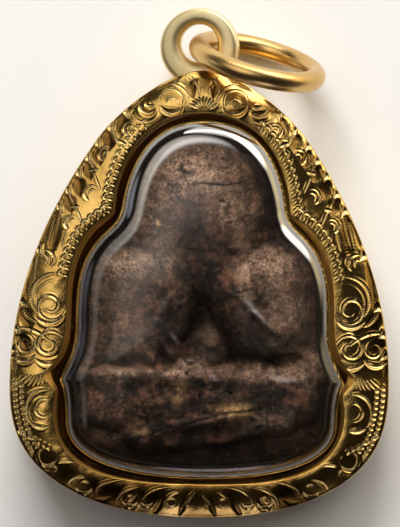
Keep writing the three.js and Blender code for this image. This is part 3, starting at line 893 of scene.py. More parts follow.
def case_half(side, name):
    """side is 1 for the right half and -1 for the left one, which mirrors it."""
    distance = np.stack([np.broadcast_to(row[0], band_width.shape) for row in case_rows], axis=1)
    level = np.stack([np.broadcast_to(row[1], band_width.shape) for row in case_rows], axis=1).copy()
    places = outer_edge[:, None] + inward[:, None] * distance[..., None]
    x, y = places[..., 0], places[..., 1]
    depth, cut, hollow = cut_depth(x[:, band], y[:, band])
    level[:, band] -= depth + WORN_DEPTH * lattice_noise(x[:, band] * side, y[:, band], WORN_WIDTH, 4)
    cut_highlight, satin, painted_shade = np.zeros_like(level), np.zeros_like(level), foot_shade(x * side, y)
    # The cuts are marked for their paler colour, a painted highlight
    cut_highlight[:, band] = cut
    # The lip is matt, and its darker colour is partly painted half shade
    satin[:, len(inside_rows) : first_band] = 1
    # Painted shade in the hollows as well as at the foot, and the cuts keep less of it
    painted_shade[:, band] = np.maximum(painted_shade[:, band], HOLLOW_SHADE * hollow)
    values = dict(cut=cut_highlight, painted_shade=painted_shade * (1 - 0.85 * cut_highlight), satin=satin)
    points = np.stack([x * side + CASE_SHIFT, y, level], axis=-1)
    return grid_mesh(name, points, False, True, engraved_gold, values, flip=side > 0)


case_pieces = [case_half(1, "case_right"), case_half(-1, "case_left")]
print("Deepest cut:", round(1000 * max(s[1].max() * s[2] for s in strokes)), "micrometres")

# %% [markdown]
# ## Brushed eyelet
# The eyelet is a short, thick gold tube soldered to the top of the case, dull from brushing and rubbing,
# so it shows broad soft light and no sharp reflection. A torus would be too round, because its faces are
# nearly flat. So its section is a squashed circle: powers below 1 square off the outer rim and the faces,
# and the mouth of the hole stays round. It is made round its own axis, tilted, and moved to its place.

# %% Brushed gold, with a roughness near 0.4 for a brushed metal
brushed_gold, _, _ = gold_plate("brushed gold plate", "#fff3cc", "#f8e0a0", 0.43)
print("Made", brushed_gold.name)

# %% The eyelet's section
EYELET_RADIUS = 3.35
EYELET_HOLE = 1.6
EYELET_DROP = 0.35
EYELET_LENGTH = 1.9
EYELET_FACE = 0.5
EYELET_RIM = 0.5
EYELET_MOUTH = 1.0


def squared(value, power):
    return np.sign(value) * np.abs(value) ** power


def eyelet_points():
    """Round its own axis; the outside is a little lower on top, where the ring has worn and pressed it."""
    angles = np.linspace(0, 2 * np.pi, 144, endpoint=False)
    turn = np.linspace(0, 2 * np.pi, 48, endpoint=False)
    side = np.where(np.cos(turn) > 0, EYELET_RIM, EYELET_MOUTH)
    outer = EYELET_RADIUS - EYELET_DROP * np.sin(angles)[:, None]
    radius = (outer + EYELET_HOLE + (outer - EYELET_HOLE) * squared(np.cos(turn), side)[None]) / 2
    height = np.broadcast_to(EYELET_LENGTH / 2 * squared(np.sin(turn), EYELET_FACE)[None], radius.shape)
    return np.stack([radius * np.cos(angles)[:, None], radius * np.sin(angles)[:, None], height], axis=-1)


print("The eyelet is", np.ptp(eyelet_points()[..., 1]).round(2), "mm across")


# %% The eyelet, tilted and in its place
EYELET_RISE = 5.45
EYELET_SHIFT = -0.4
EYELET_HEIGHT = 4.8
EYELET_YAW = 8
EYELET_PITCH = 2
EYELET_CENTRE = np.array(
    [CASE_SHIFT + EYELET_SHIFT, BAND_TOP_Y + EYELET_RISE - EYELET_RADIUS + EYELET_DROP, EYELET_HEIGHT]
)


def eyelet_tilt():
    pitch, yaw = math.radians(EYELET_PITCH), math.radians(-EYELET_YAW)
    tilt = [[1, 0, 0], [0, math.cos(pitch), -math.sin(pitch)], [0, math.sin(pitch), math.cos(pitch)]]
    swing = [[math.cos(yaw), 0, math.sin(yaw)], [0, 1, 0], [-math.sin(yaw), 0, math.cos(yaw)]]
    return np.array(swing) @ np.array(tilt)


placed_eyelet = eyelet_points() @ eyelet_tilt().T + EYELET_CENTRE
case_pieces.append(grid_mesh("eyelet", placed_eyelet, True, True, brushed_gold))

# %% [markdown]
# ## Loose ring
# The ring is a length of drawn gold wire, bent round a rod until its ends meet in a fine seam. It leans
# in the eyelet and rests on the table. A torus object could be turned by eye, but the ring has to clear
# the eyelet and touch the table, so its centre is worked out from its heading, its lean and the eyelet's
# height.

# %% Satin gold wire: drawn through a die and worn, so its light is a soft streak with a roughness near 0.3
satin_gold, _, _ = gold_plate("satin gold wire", "#eccd90", "#c99c54", 0.28)
print("Made", satin_gold.name)

# %% Which way the ring lies, and where its middle is
RING_RADIUS = 5.1
RING_WIRE = 0.87
RING_HEADING = -14
RING_LEAN = 17
RING_SLACK = 0.12
heading, lean = math.radians(RING_HEADING), math.radians(RING_LEAN)
ring_ahead = np.array([math.cos(heading), math.sin(heading), 0])
ring_up = np.array([math.sin(heading) * math.sin(lean), -math.cos(heading) * math.sin(lean), math.cos(lean)])
ring_drop = (EYELET_HEIGHT - RING_RADIUS * math.cos(lean) - RING_WIRE) / math.cos(lean)
ring_back = math.sqrt(RING_RADIUS**2 - ring_drop**2) + RING_SLACK
RING_CENTRE = EYELET_CENTRE + ring_ahead * ring_back - ring_up * ring_drop
print("The ring's middle is at", RING_CENTRE.round(2), "mm")

# %% The bent wire
SEAM_AT = 232
SEAM_WIDTH = 0.012


def ring():
    turn = np.linspace(0, 2 * np.pi, 360, endpoint=False)
    around = np.linspace(0, 2 * np.pi, 48, endpoint=False)
    from_seam = np.abs(np.angle(np.exp(1j * (turn - math.radians(SEAM_AT)))))
    wire = RING_WIRE * (1 - 0.06 * np.exp(-((from_seam / SEAM_WIDTH) ** 2)))
    wire = wire * (1 + 0.006 * np.sin(3 * turn + 1) + 0.004 * np.sin(7 * turn))
    outward = ring_ahead[None] * np.cos(turn)[:, None] + ring_up[None] * np.sin(turn)[:, None]
    through = np.cross(ring_ahead, ring_up)
    section = outward[:, None] * np.cos(around)[None, :, None] + through * np.sin(around)[None, :, None]
    points = RING_CENTRE + RING_RADIUS * outward[:, None] + wire[:, None, None] * section
    return grid_mesh("ring_wire", points, True, True, satin_gold, flip=True)


ring_piece = ring()

# %% [markdown]
# ## Cast acrylic
# The clear front and back are cast acrylic, formed hot and buffed. Clear plastic lets the clay show,
# bends light at its edges and mirrors windows in its shoulders. Acrylic's IOR is 1.49, but a hollow shell
# with that value turns dark at its rim here, where the real cover shows gold. So the body's IOR is
# lowered to match, and a clear coat at 1.49 gives back the gloss, more of it on the shoulder that faces
# the light. The shadow is thinned with a transparent shader, because light would otherwise not reach the
# clay without many more samples.

# %% Clear cast acrylic, with a buffed face
BUFF_WIDTH = 4.0  # buffing leaves waves about 4 mm wide that make the highlights a little uneven
BUFF_DEPTH = 0.02


def cast_acrylic(name, tint, shade):
    """Tint colours the light that is seen through the plastic, and shade colours its shadow."""
    material, tree, shader = new_material(name)
    shader.inputs["Base Color"].default_value = srgb(tint)
    shader.inputs["Transmission Weight"].default_value = 1
    shader.inputs["IOR"].default_value = 1.12
    shader.inputs["Roughness"].default_value = 0.02
    place = add_node(tree, "TexCoord").outputs["Object"]
    size = {"Vector": place, "Scale": 1000 / BUFF_WIDTH, "Detail": 2.0, "Roughness": 0.55}
    waves = add_node(tree, "TexNoise", size).outputs[0]
    buffed = {"Height": waves, "Strength": 0.4, "Distance": BUFF_DEPTH * 0.001}
    tree.links.new(add_node(tree, "Bump", buffed).outputs[0], shader.inputs["Normal"])
    shadow = add_node(tree, "LightPath").outputs["Is Shadow Ray"]
    through = add_node(tree, "BsdfTransparent", {"Color": srgb(shade)}).outputs[0]
    mixed = add_node(tree, "MixShader", {0: shadow, 1: shader.outputs[0], 2: through}).outputs[0]
    output = next(n for n in tree.nodes if n.type == "OUTPUT_MATERIAL")
    tree.links.new(mixed, output.inputs["Surface"])
    return material, tree, shader


print("Buffing waves", BUFF_WIDTH, "mm wide are", round(1000 / BUFF_WIDTH), "to a metre")


# %% Acrylic of the dome, with a gloss coat on its outside
ACRYLIC_IOR = 1.49
RIM_IOR = 4.4  # far above real acrylic, for the white band of window light on the shoulder
clear_acrylic, dome_tree, dome_shader = cast_acrylic("clear cast acrylic", "#f4f1ec", "#f0eeea")
outside = add_node(dome_tree, "Attribute", settings=dict(attribute_name="outside")).outputs["Fac"]
toward_light = add_node(dome_tree, "Attribute", settings=dict(attribute_name="rim")).outputs["Fac"]
gloss = add_node(dome_tree, "MapRange", {"Value": toward_light, "To Min": ACRYLIC_IOR, "To Max": RIM_IOR})
dome_tree.links.new(outside, dome_shader.inputs["Coat Weight"])
dome_tree.links.new(gloss.outputs[0], dome_shader.inputs["Coat IOR"])
dome_shader.inputs["Coat Roughness"].default_value = 0.04
print(clear_acrylic.name, "has", len(dome_tree.nodes), "nodes")

# %% [markdown]
# ## Clear dome
# The dome is a hollow shell: a slightly crowned top, round shoulders, and a flange that the gold band
# holds down. A filled outline with a Solidify and a Bevel modifier comes close, but sharp inner corners
# of the outline pinch there. So rings of the outline are moved in and down step by step, and each point
# stays on its own ray from the middle, which keeps the faces neat. It is closed on the inside, so light
# is bent twice as in a real shell.

# %% Sizes of the dome
COVER_WALL = 1.0
DOME_ROUND = 2.0  # half a millimetre rounder than the solid, so that the highlights are as broad as they look
DOME_CROWN = 0.35
COVER_DRAFT = 0.15
FLANGE_LIP = 0.75
FLANGE_TOP = CUT_EDGE - SHEET - SEAT_GAP
COVER_STATIONS = 560
SHOULDER_STEPS = 12
CROWN_SHARES = [0.0, 0.2, 0.4, 0.55, 0.65, 0.73, 0.8, 0.86, 0.91, 0.95, 0.98]
dome_line = cover_outline(COVER_STATIONS)
dome_angles = np.arctan2(dome_line[:, 1], dome_line[:, 0])
print("The dome's crown is", round(DOME_RIM + DOME_CROWN, 2), "mm above the table")


# %% Crown and shoulder, each as rows of distance from the middle and height
def crown_rows(flat, top):
    """The top, from the middle out; its rise fades away before the shoulder."""
    rows = []
    for share in CROWN_SHARES:
        x, y = flat * share * np.cos(dome_angles), flat * share * np.sin(dome_angles)
        rise = 1 - (x / COVER_HALF) ** 2 - (y / COVER_TOP) ** 2
        rows.append((flat * share, top + DOME_CROWN * rise * smooth(0, 0.6, 1 - share)))
    return rows


def shoulder_rows(line, rounding, top):
    """The rounding, from the top down to the wall."""
    rows = []
    for step in range(SHOULDER_STEPS + 1):
        turn = step / SHOULDER_STEPS * math.pi / 2
        here = offset(line, -rounding * (1 - math.sin(turn)))
        rows.append((reach(here, dome_angles), top - rounding * (1 - math.cos(turn))))
    return rows


print("Rows in a crown and a shoulder:", len(CROWN_SHARES), SHOULDER_STEPS + 1)


# %% The dome's whole section, over the outside and back along the inside
inner_line = offset(dome_line, -COVER_WALL)
INNER_ROUND = DOME_ROUND - COVER_WALL / 2
INNER_TOP = DOME_RIM - COVER_WALL
dome_foot = reach(offset(dome_line, COVER_DRAFT), dome_angles, True)
flange = reach(offset(dome_line, COVER_DRAFT + FLANGE_LIP), dome_angles, True)
dome_rows = crown_rows(reach(offset(dome_line, -DOME_ROUND), dome_angles), DOME_RIM)
dome_rows += shoulder_rows(dome_line, DOME_ROUND, DOME_RIM)
dome_rows += [(dome_foot, FLANGE_TOP), (flange, FLANGE_TOP), (flange, COVER_FOOT)]
dome_rows += [(reach(inner_line, dome_angles), COVER_FOOT)]
dome_rows += reversed(shoulder_rows(inner_line, INNER_ROUND, INNER_TOP))
dome_rows += reversed(crown_rows(reach(offset(inner_line, -INNER_ROUND), dome_angles), INNER_TOP))
print("The dome's section has", len(dome_rows), "points")

# %% The dome, with its outside and its lit shoulder marked for the gloss
LIT_FROM = 62  # degrees round from the right, the side that the window light comes from


def clear_dome():
    radius = np.stack([np.broadcast_to(row[0], dome_angles.shape) for row in dome_rows], axis=1)
    level = np.stack([np.broadcast_to(row[1], dome_angles.shape) for row in dome_rows], axis=1)
    x, y = radius * np.cos(dome_angles)[:, None], radius * np.sin(dome_angles)[:, None]
    row = np.arange(len(dome_rows)) - len(CROWN_SHARES)
    curved = np.where((row >= 0) & (row <= SHOULDER_STEPS), 1.0, np.where(row == -1, 0.3, 0.0))
    lit = 0.5 + 0.5 * np.cos(dome_angles - math.radians(LIT_FROM))[:, None]
    outside = np.where(row <= SHOULDER_STEPS + 1, 1.0, 0.0)
    values = dict(rim=lit**3 * curved, outside=np.ones_like(lit) * outside)
    points = np.stack([x, y, level], axis=-1)
    return grid_mesh("clear_dome", points, True, False, clear_acrylic, values, flip=True)


cover_piece = clear_dome()

# %% [markdown]
# ## Pressed clay
# The figure is fine dark clay, pressed in a mould, dried and handled for many years. The eye sees a near-
# black ground, brown where the high places have worn and face the light, small ochre grains, and a dull shine
# on a few sharp edges. One brown noise would look like plain soil, so the mesh says where the clay is worn,
# dark, ochre, pitted or shiny, and noise breaks up the edges of those places. The worn brown is partly
# painted light on the tops that face the light, the dark places are partly painted shade, the black in the
# pits and cracks is painted shade, and the shine is a painted highlight. Dry clay has a roughness of 0.5 and
# more, but skin oil polishes it, so the roughness runs from 0.2 to 0.65. Its specular level stays at 0.5.

# %% Sizes of the clay's patterns, in millimetres
MOTTLE_WIDTH = 1.25  # lumps of the pressed powder
GRAIN_WIDTH = 0.25  # powder grains are under 0.1 mm, so they are drawn coarser to show at all
SPECK_WIDTH = 0.385  # pale grains of crushed stone
POLISH_PATCH = 1.11  # patches that fingers have polished
DENT_WIDTH = 0.667  # dents between the lumps
pressed_clay, clay_tree, clay_shader = new_material("pressed dark clay")
clay_place = add_node(clay_tree, "TexCoord").outputs["Object"]
print("Noise lumps per metre of clay:", round(1000 / MOTTLE_WIDTH), "to", round(1000 / GRAIN_WIDTH))

# %% Mottle, grain and specks
size = {"Vector": clay_place, "Scale": 1000 / MOTTLE_WIDTH, "Detail": 10.0, "Roughness": 0.72}
mottle = add_node(clay_tree, "TexNoise", size).outputs[0]
size = {"Vector": clay_place, "Scale": 1000 / GRAIN_WIDTH, "Detail": 6.0, "Roughness": 0.7}
grain = add_node(clay_tree, "TexNoise", size).outputs[0]
grain = add_node(clay_tree, "ValToRGB", {0: grain}, stops=[(0.3, "#000000"), (0.7, "#ffffff")]).outputs[0]
size = {"Vector": clay_place, "Scale": 1000 / SPECK_WIDTH, "Detail": 4.0, "Roughness": 0.75}
specks = add_node(clay_tree, "TexNoise", size).outputs[0]
specks = add_node(clay_tree, "ValToRGB", {0: specks}, stops=[(0.61, "#000000"), (0.7, "#ffffff")]).outputs[0]
pale = add_node(clay_tree, "ValToRGB", {0: mottle}, stops=[(0.45, "#000000"), (0.6, "#ffffff")]).outputs[0]
layers = {MIX_SHARE: pale, MIX_FROM: srgb("#000000"), MIX_TO: specks}
specks = add_node(clay_tree, "Mix", layers, COLOUR_MIX).outputs[MIX_RESULT]
print("Specks keep to the pale lumps; nodes so far:", len(clay_tree.nodes))

# %% The clay's ground, from near black in the low places to brown on the lumps
brown = [(0.38, "#060403"), (0.5, "#301c14"), (0.62, "#8c624c")]
ground = add_node(clay_tree, "ValToRGB", {0: mottle}, stops=brown).outputs[0]
layers = {MIX_SHARE: 0.5, MIX_FROM: ground, MIX_TO: srgb("#060403")}
darker = add_node(clay_tree, "Mix", layers, COLOUR_MIX).outputs[MIX_RESULT]
layers = {MIX_SHARE: grain, MIX_FROM: darker, MIX_TO: ground}
ground = add_node(clay_tree, "Mix", layers, COLOUR_MIX).outputs[MIX_RESULT]
clay_tree.links.new(ground, clay_shader.inputs["Base Color"])
print("The ground runs through", len(brown), "browns")

# %% Worn brown places, partly painted light where they face the light, and ochre places, laid over the ground with its grain in them
lit_worn_stops = [(0.1, "#3a271e"), (0.8, "#ecc6ac")]
lit_worn_brown = add_node(clay_tree, "ValToRGB", {0: grain}, stops=lit_worn_stops).outputs[0]
# Worn brown is partly wear and partly painted light on the tops that face the light
lay_over(clay_tree, clay_shader, "worn", lit_worn_brown)
layers = {MIX_SHARE: grain, MIX_FROM: srgb("#8a6636"), MIX_TO: srgb("#edc688")}
ochre = add_node(clay_tree, "Mix", layers, COLOUR_MIX).outputs[MIX_RESULT]
lay_over(clay_tree, clay_shader, "ochre", ochre)
under = clay_shader.inputs["Base Color"].links[0].from_socket
layers = {MIX_SHARE: specks, MIX_FROM: under, MIX_TO: srgb("#a9835c")}
speckled = add_node(clay_tree, "Mix", layers, COLOUR_MIX).outputs[MIX_RESULT]
print("Worn, ochre and speckled; nodes so far:", len(clay_tree.nodes))

# %% Dark places partly painted shade, pits and cracks painted as shade, and a painted highlight on some edges
DARKENING = 0.82
layers = {MIX_SHARE: DARKENING, MIX_FROM: speckled, MIX_TO: srgb("#050302")}
darkened_colour = add_node(clay_tree, "Mix", layers, COLOUR_MIX).outputs[MIX_RESULT]
clay_tree.links.new(speckled, clay_shader.inputs["Base Color"])
# Dark places are mixed near to black: painted shade under the forms and on the forearms, and darker hands and
# middle
lay_over(clay_tree, clay_shader, "dark", darkened_colour)
# Painted shade: the pits and cracks are coloured near black
lay_over(clay_tree, clay_shader, "pit_shade", srgb("#080504"))
# Painted highlight: a pale bluish glint laid on the crests of some folds
layers = {MIX_SHARE: grain, MIX_FROM: srgb("#6c6670"), MIX_TO: srgb("#d8d4de")}
painted_shine = add_node(clay_tree, "Mix", layers, COLOUR_MIX).outputs[MIX_RESULT]
lay_over(clay_tree, clay_shader, "painted_sheen", painted_shine)
print("Dark, pitted and shiny; nodes so far:", len(clay_tree.nodes))

# %% How rough and how dented the clay is
DENT_DEPTH = 0.9
GRAIN_DEPTH = 0.08
size = {"Vector": clay_place, "Scale": 1000 / POLISH_PATCH, "Detail": 4.0, "Roughness": 0.55}
polished = {"Value": add_node(clay_tree, "TexNoise", size).outputs[0], "To Min": 0.2, "To Max": 0.65}
clay_tree.links.new(add_node(clay_tree, "MapRange", polished).outputs[0], clay_shader.inputs["Roughness"])
size = {"Vector": clay_place, "Scale": 1000 / DENT_WIDTH, "Detail": 8.0, "Roughness": 0.7}
dents = {"Height": add_node(clay_tree, "TexNoise", size).outputs[0], "Distance": DENT_DEPTH * 0.001}
dents["Strength"] = 1.0
grains = {"Height": grain, "Strength": 0.7, "Distance": GRAIN_DEPTH * 0.001}
grains["Normal"] = add_node(clay_tree, "Bump", dents).outputs[0]
clay_tree.links.new(add_node(clay_tree, "Bump", grains).outputs[0], clay_shader.inputs["Normal"])
clay_shader.inputs["Specular IOR Level"].default_value = 0.5
print(pressed_clay.name, "has", len(clay_tree.nodes), "nodes")

# %% [markdown]
# ## Clay figure
# The figure sits cross-legged and covers its face with both hands, pressed in low relief and worn soft.
# It could be sculpted by hand. Here ten raised forms are added and blended, the same as in the CAD part,
# and each is a dome or a rounded bar whose place is a share of the figure's half width and half height.
# Where the blend of two forms is soft, their border fills in like worn clay.

# %% Raised forms
FORMS = [
    dict(form="head", x=-0.02, y=0.57, rx=0.55, ry=0.46, top=0.86),
    dict(form="brow", x=-0.02, y=0.64, rx=0.36, ry=0.26, top=0.93),
    dict(form="hands", x=-0.03, y=0.2, x2=-0.04, y2=0.44, rx=0.21, top=1, top2=0.94),
    dict(form="left upper arm", x=-0.6, y=-0.06, rx=0.35, ry=0.38, top=0.8),
    dict(form="right upper arm", x=0.6, y=-0.03, rx=0.31, ry=0.4, top=0.85),
    dict(form="left forearm", x=-0.12, y=0.22, x2=-0.34, y2=-0.33, rx=0.17, top=0.94, top2=0.68),
    dict(form="right forearm", x=0.06, y=0.22, x2=0.44, y2=-0.28, rx=0.19, top=0.96, top2=0.78),
    dict(form="belly", x=0.02, y=-0.32, rx=0.2, ry=0.14, top=0.58),
    dict(form="crossed legs", x=-0.78, y=-0.6, x2=0.8, y2=-0.57, rx=0.2, top=0.8, top2=0.84),
    dict(form="lower shin", x=-0.5, y=-0.83, x2=0.66, y2=-0.69, rx=0.15, top=0.56, top2=0.76),
]
FORM_BLEND = 0.07
print("Raised forms:", len(FORMS))


# %% Height of one form, and of all of them blended
def form_height(row, x, y):
    x2, y2 = row.get("x2", row["x"]), row.get("y2", row["y"])
    dx, dy = x2 - row["x"], y2 - row["y"]
    along = 0.0
    if dx or dy:
        along = np.clip(((x - row["x"]) * dx + (y - row["y"]) * dy) / (dx * dx + dy * dy), 0, 1)
    centre_x, centre_y = row["x"] + along * dx, row["y"] + along * dy
    top = row["top"] + along * (row.get("top2", row["top"]) - row["top"])
    away = ((x - centre_x) / row["rx"]) ** 2 + ((y - centre_y) / row.get("ry", row["rx"])) ** 2
    return top * np.clip(1 - away, 0, 1) ** 0.6


def relief(x, y):
    total = 1 + sum(np.exp(form_height(row, x, y) / FORM_BLEND) for row in FORMS)
    return FORM_BLEND * np.log(total / (len(FORMS) + 1))


print("Relief at the middle of the hands:", relief(np.array([-0.03]), np.array([0.3])).round(2))


# %% [markdown]
# ## Wear, painted light and shade, cracks and folds
# Handling rubs the high places brown, and the same brown is painted light on the tops that face the light.
# The forearms and the places under the forms are painted dark as shade, and the hands and the middle are
# darker too. Drying opened a few cracks. The edges of the arms and of the lap are sharp folds. These marks
# could be painted on the mesh by hand, but rows with a place and a size can be read, moved and compared with
# the photograph one by one.

# %% Worn, dark and ochre places, as shares of the figure's half width and half height; the worn ones are partly painted light and the dark ones partly painted shade
PATCHES = [
    # Worn places: wear on the high places, and painted light on the tops that face the light
    dict(place="top of the head", kind="worn", x=-0.04, y=0.78, rx=0.46, ry=0.17, amount=0.85),
    dict(place="left side of the head", kind="worn", x=-0.36, y=0.5, rx=0.2, ry=0.32, amount=0.4),
    dict(place="right side of the head", kind="worn", x=0.22, y=0.53, rx=0.24, ry=0.24, amount=0.5),
    dict(place="brow", kind="worn", x=-0.06, y=0.62, rx=0.16, ry=0.1, amount=0.45),
    dict(place="left shoulder", kind="worn", x=-0.5, y=0.21, rx=0.29, ry=0.09, amount=0.7),
    dict(place="left arm", kind="worn", x=-0.72, y=-0.08, rx=0.24, ry=0.36, amount=0.32),
    dict(place="left elbow", kind="worn", x=-0.46, y=-0.22, rx=0.1, ry=0.12, amount=0.4),
    dict(place="right shoulder", kind="worn", x=0.55, y=0.2, rx=0.3, ry=0.12, amount=0.95),
    dict(place="inner edge of the right arm", kind="worn", x=0.34, y=0.12, rx=0.08, ry=0.2, amount=0.8),
    dict(place="right arm", kind="worn", x=0.64, y=-0.05, rx=0.22, ry=0.2, amount=0.4),
    dict(place="outer edge of the right arm", kind="worn", x=0.82, y=-0.02, rx=0.1, ry=0.3, amount=0.6),
    dict(place="right elbow", kind="worn", x=0.78, y=-0.36, rx=0.18, ry=0.09, amount=0.8),
    dict(place="belly", kind="worn", x=0.04, y=-0.2, rx=0.14, ry=0.05, amount=0.4),
    dict(place="under the belly", kind="worn", x=-0.1, y=-0.39, rx=0.14, ry=0.04, amount=0.6),
    dict(place="edge of the lap", kind="worn", x=-0.3, y=-0.45, rx=0.62, ry=0.035, amount=0.8),
    dict(place="right knee", kind="worn", x=0.55, y=-0.43, rx=0.36, ry=0.05, amount=0.7),
    dict(place="left side of the lap", kind="worn", x=-0.76, y=-0.72, rx=0.2, ry=0.15, amount=0.3),
    dict(place="smooth patch at the foot", kind="worn", x=0.66, y=-0.79, rx=0.3, ry=0.1, amount=0.42),
    # Dark places: painted shade on the forearms, under the elbow, belly, lap and shin and at the foot; the
    # hands and the middle are darker too
    dict(place="tips of the hands", kind="dark", x=-0.04, y=0.36, rx=0.13, ry=0.2, amount=0.9),
    dict(place="hands", kind="dark", x=-0.03, y=0.14, rx=0.22, ry=0.26, amount=0.95),
    dict(place="middle", kind="dark", x=-0.04, y=-0.08, rx=0.26, ry=0.2, amount=0.9),
    dict(place="left forearm", kind="dark", x=-0.3, y=-0.16, rx=0.13, ry=0.2, amount=0.8),
    dict(place="right forearm", kind="dark", x=0.26, y=-0.12, rx=0.2, ry=0.16, amount=0.8),
    dict(place="under the right elbow", kind="dark", x=0.46, y=-0.3, rx=0.3, ry=0.1, amount=1),
    dict(place="under the belly", kind="dark", x=0.04, y=-0.34, rx=0.16, ry=0.05, amount=0.6),
    dict(place="front of the lap", kind="dark", x=0.05, y=-0.58, rx=0.8, ry=0.09, amount=0.75),
    dict(place="under the shin", kind="dark", x=0.1, y=-0.8, rx=0.6, ry=0.07, amount=0.8),
    dict(place="foot", kind="dark", x=-0.05, y=-0.95, rx=1.0, ry=0.11, amount=1),
    dict(place="lap", kind="ochre", x=-0.18, y=-0.56, rx=0.06, ry=0.07, amount=0.9),
    dict(place="lower lap", kind="ochre", x=-0.2, y=-0.68, rx=0.05, ry=0.04, amount=0.7),
    dict(place="shin", kind="ochre", x=0.24, y=-0.68, rx=0.17, ry=0.05, amount=0.9),
    dict(place="speck on the head", kind="ochre", x=-0.35, y=0.47, rx=0.026, ry=0.02, amount=2),
    dict(place="speck on the brow", kind="ochre", x=-0.18, y=0.64, rx=0.03, ry=0.03, amount=0.8),
    dict(place="left foot", kind="ochre", x=-0.47, y=-0.78, rx=0.08, ry=0.04, amount=0.6),
]
print("Places with a colour of their own:", len(PATCHES))

# %% Cracks, and folds whose ridges stand up and whose grooves go in by so many millimetres
CRACKS = [
    dict(crack="brow", x=-0.1, y=0.69, x2=0.31, y2=0.72),
    dict(crack="right forearm", x=0.17, y=0.01, x2=0.36, y2=0.07),
    dict(crack="right elbow", x=0.5, y=-0.38, x2=0.77, y2=-0.31),
    dict(crack="hands", x=-0.2, y=0.31, x2=0.1, y2=0.29),
    dict(crack="temple", x=-0.22, y=0.78, x2=-0.1, y2=0.75),
    dict(crack="lap", x=-0.3, y=-0.79, x2=0.55, y2=-0.63),
]
# The last column gives a painted highlight, a pale glint, on the fold's crest
FOLDS = [
    dict(fold="right forearm", x=0.26, y=0.06, x2=0.58, y2=-0.19, width=0.4, rise=0.85, painted_sheen=1),
    dict(fold="inner edge of the right arm", x=0.31, y=0.28, x2=0.37, y2=0, width=0.5, rise=0.55),
    dict(fold="left forearm", x=-0.24, y=0.07, x2=-0.44, y2=-0.24, width=0.45, rise=0.5, painted_sheen=0.3),
    dict(fold="left edge of the lap", x=-0.9, y=-0.455, x2=0.1, y2=-0.445, width=0.45, rise=0.5),
    dict(fold="right edge of the lap", x=0.46, y=-0.44, x2=0.85, y2=-0.5, width=0.4, rise=0.5, painted_sheen=0.7),
    dict(fold="nick in the lap", x=0.0, y=-0.42, x2=0.13, y2=-0.5, width=0.25, rise=0.3, painted_sheen=0.8),
    dict(fold="left of the belly", x=-0.26, y=-0.2, x2=-0.17, y2=-0.29, width=0.25, rise=0.3, painted_sheen=0.8),
    dict(fold="over the belly's right", x=0.16, y=0.05, x2=0.3, y2=0.03, width=0.25, rise=0.25, painted_sheen=0.5),
    dict(fold="shin", x=-0.26, y=-0.79, x2=0.42, y2=-0.665, width=0.5, rise=0.55),
    dict(fold="hem of the head", x=-0.34, y=0.7, x2=0.26, y2=0.77, width=0.45, rise=0.25),
    dict(fold="top of the left arm", x=-0.75, y=0.18, x2=-0.3, y2=0.22, width=0.5, rise=0.35),
    dict(fold="beside the hands", x=-0.14, y=0.44, x2=-0.3, y2=0.0, width=0.45, rise=-0.8),
    dict(fold="between the hands and the arm", x=0.06, y=0.44, x2=0.25, y2=0.08, width=0.45, rise=-0.8),
    dict(fold="under the right elbow", x=0.16, y=-0.36, x2=0.78, y2=-0.37, width=0.5, rise=-0.8),
    dict(fold="beside the belly", x=0.08, y=-0.12, x2=0.26, y2=-0.34, width=0.45, rise=-0.7),
    dict(fold="over the belly", x=-0.24, y=-0.3, x2=0.02, y2=-0.15, width=0.4, rise=-0.6),
    dict(fold="left elbow", x=-0.45, y=-0.3, x2=-0.2, y2=-0.4, width=0.45, rise=-0.5),
    dict(fold="under the lap's edge", x=-0.6, y=-0.54, x2=0.4, y2=-0.57, width=0.8, rise=-0.7),
    dict(fold="under the shin", x=-0.34, y=-0.87, x2=0.4, y2=-0.76, width=0.7, rise=-0.6),
]
CRACK_WIDTH = 0.11
print("Cracks and folds:", len(CRACKS), len(FOLDS))

# %% How much of a place is worn and painted lit, dark or ochre
FIGURE_GAP = 0.25
FIGURE_HALF = COVER_HALF - COVER_WALL - FIGURE_GAP
FIGURE_TOP = COVER_TOP - COVER_WALL - FIGURE_GAP


def patch(kind, x, y):
    total = np.zeros_like(x)
    for row in PATCHES:
        if row["kind"] == kind:
            away = ((x - row["x"]) / row["rx"]) ** 2 + ((y - row["y"]) / row["ry"]) ** 2
            total = np.maximum(total, row["amount"] * np.exp(-(away**1.5)))
    return np.clip(total, 0, 1)


print("Worn at the top of the head:", patch("worn", np.zeros(1), np.array([0.78])).round(2))


# %% How near a place is to a crack or a fold
def line_share(row, x, y, width):
    """1 on the row's line and 0 away from it or past its ends; x, y and width are millimetres."""
    ax, ay = row["x"] * FIGURE_HALF, row["y"] * FIGURE_TOP
    dx, dy = row["x2"] * FIGURE_HALF - ax, row["y2"] * FIGURE_TOP - ay
    along = np.clip(((x - ax) * dx + (y - ay) * dy) / (dx * dx + dy * dy), 0, 1)
    far = np.hypot(x - ax - along * dx, y - ay - along * dy)
    fade = np.sin(np.pi * np.clip(along, 0.02, 0.98)) ** 0.5
    return fade * np.exp(-((far / width) ** 2))


def cracks(x, y):
    return np.maximum.reduce([line_share(row, x, y, CRACK_WIDTH) for row in CRACKS])


def folds(x, y):
    """The folds' height in millimetres, and the shares of a place that are on a ridge and under a painted
    highlight.
    """
    height, crest, painted_sheen = np.zeros_like(x), np.zeros_like(x), np.zeros_like(x)
    for row in FOLDS:
        share = line_share(row, x, y, row["width"])
        height += row["rise"] * share
        if row["rise"] > 0:
            crest = np.maximum(crest, share**2)
            painted_sheen = np.maximum(painted_sheen, row.get("painted_sheen", 0) * share**4)
    return height, crest, painted_sheen


on_lap = np.array([-0.4 * FIGURE_HALF]), np.array([-0.45 * FIGURE_TOP])
print("The lap's edge rises by", folds(*on_lap)[0].round(2), "mm")


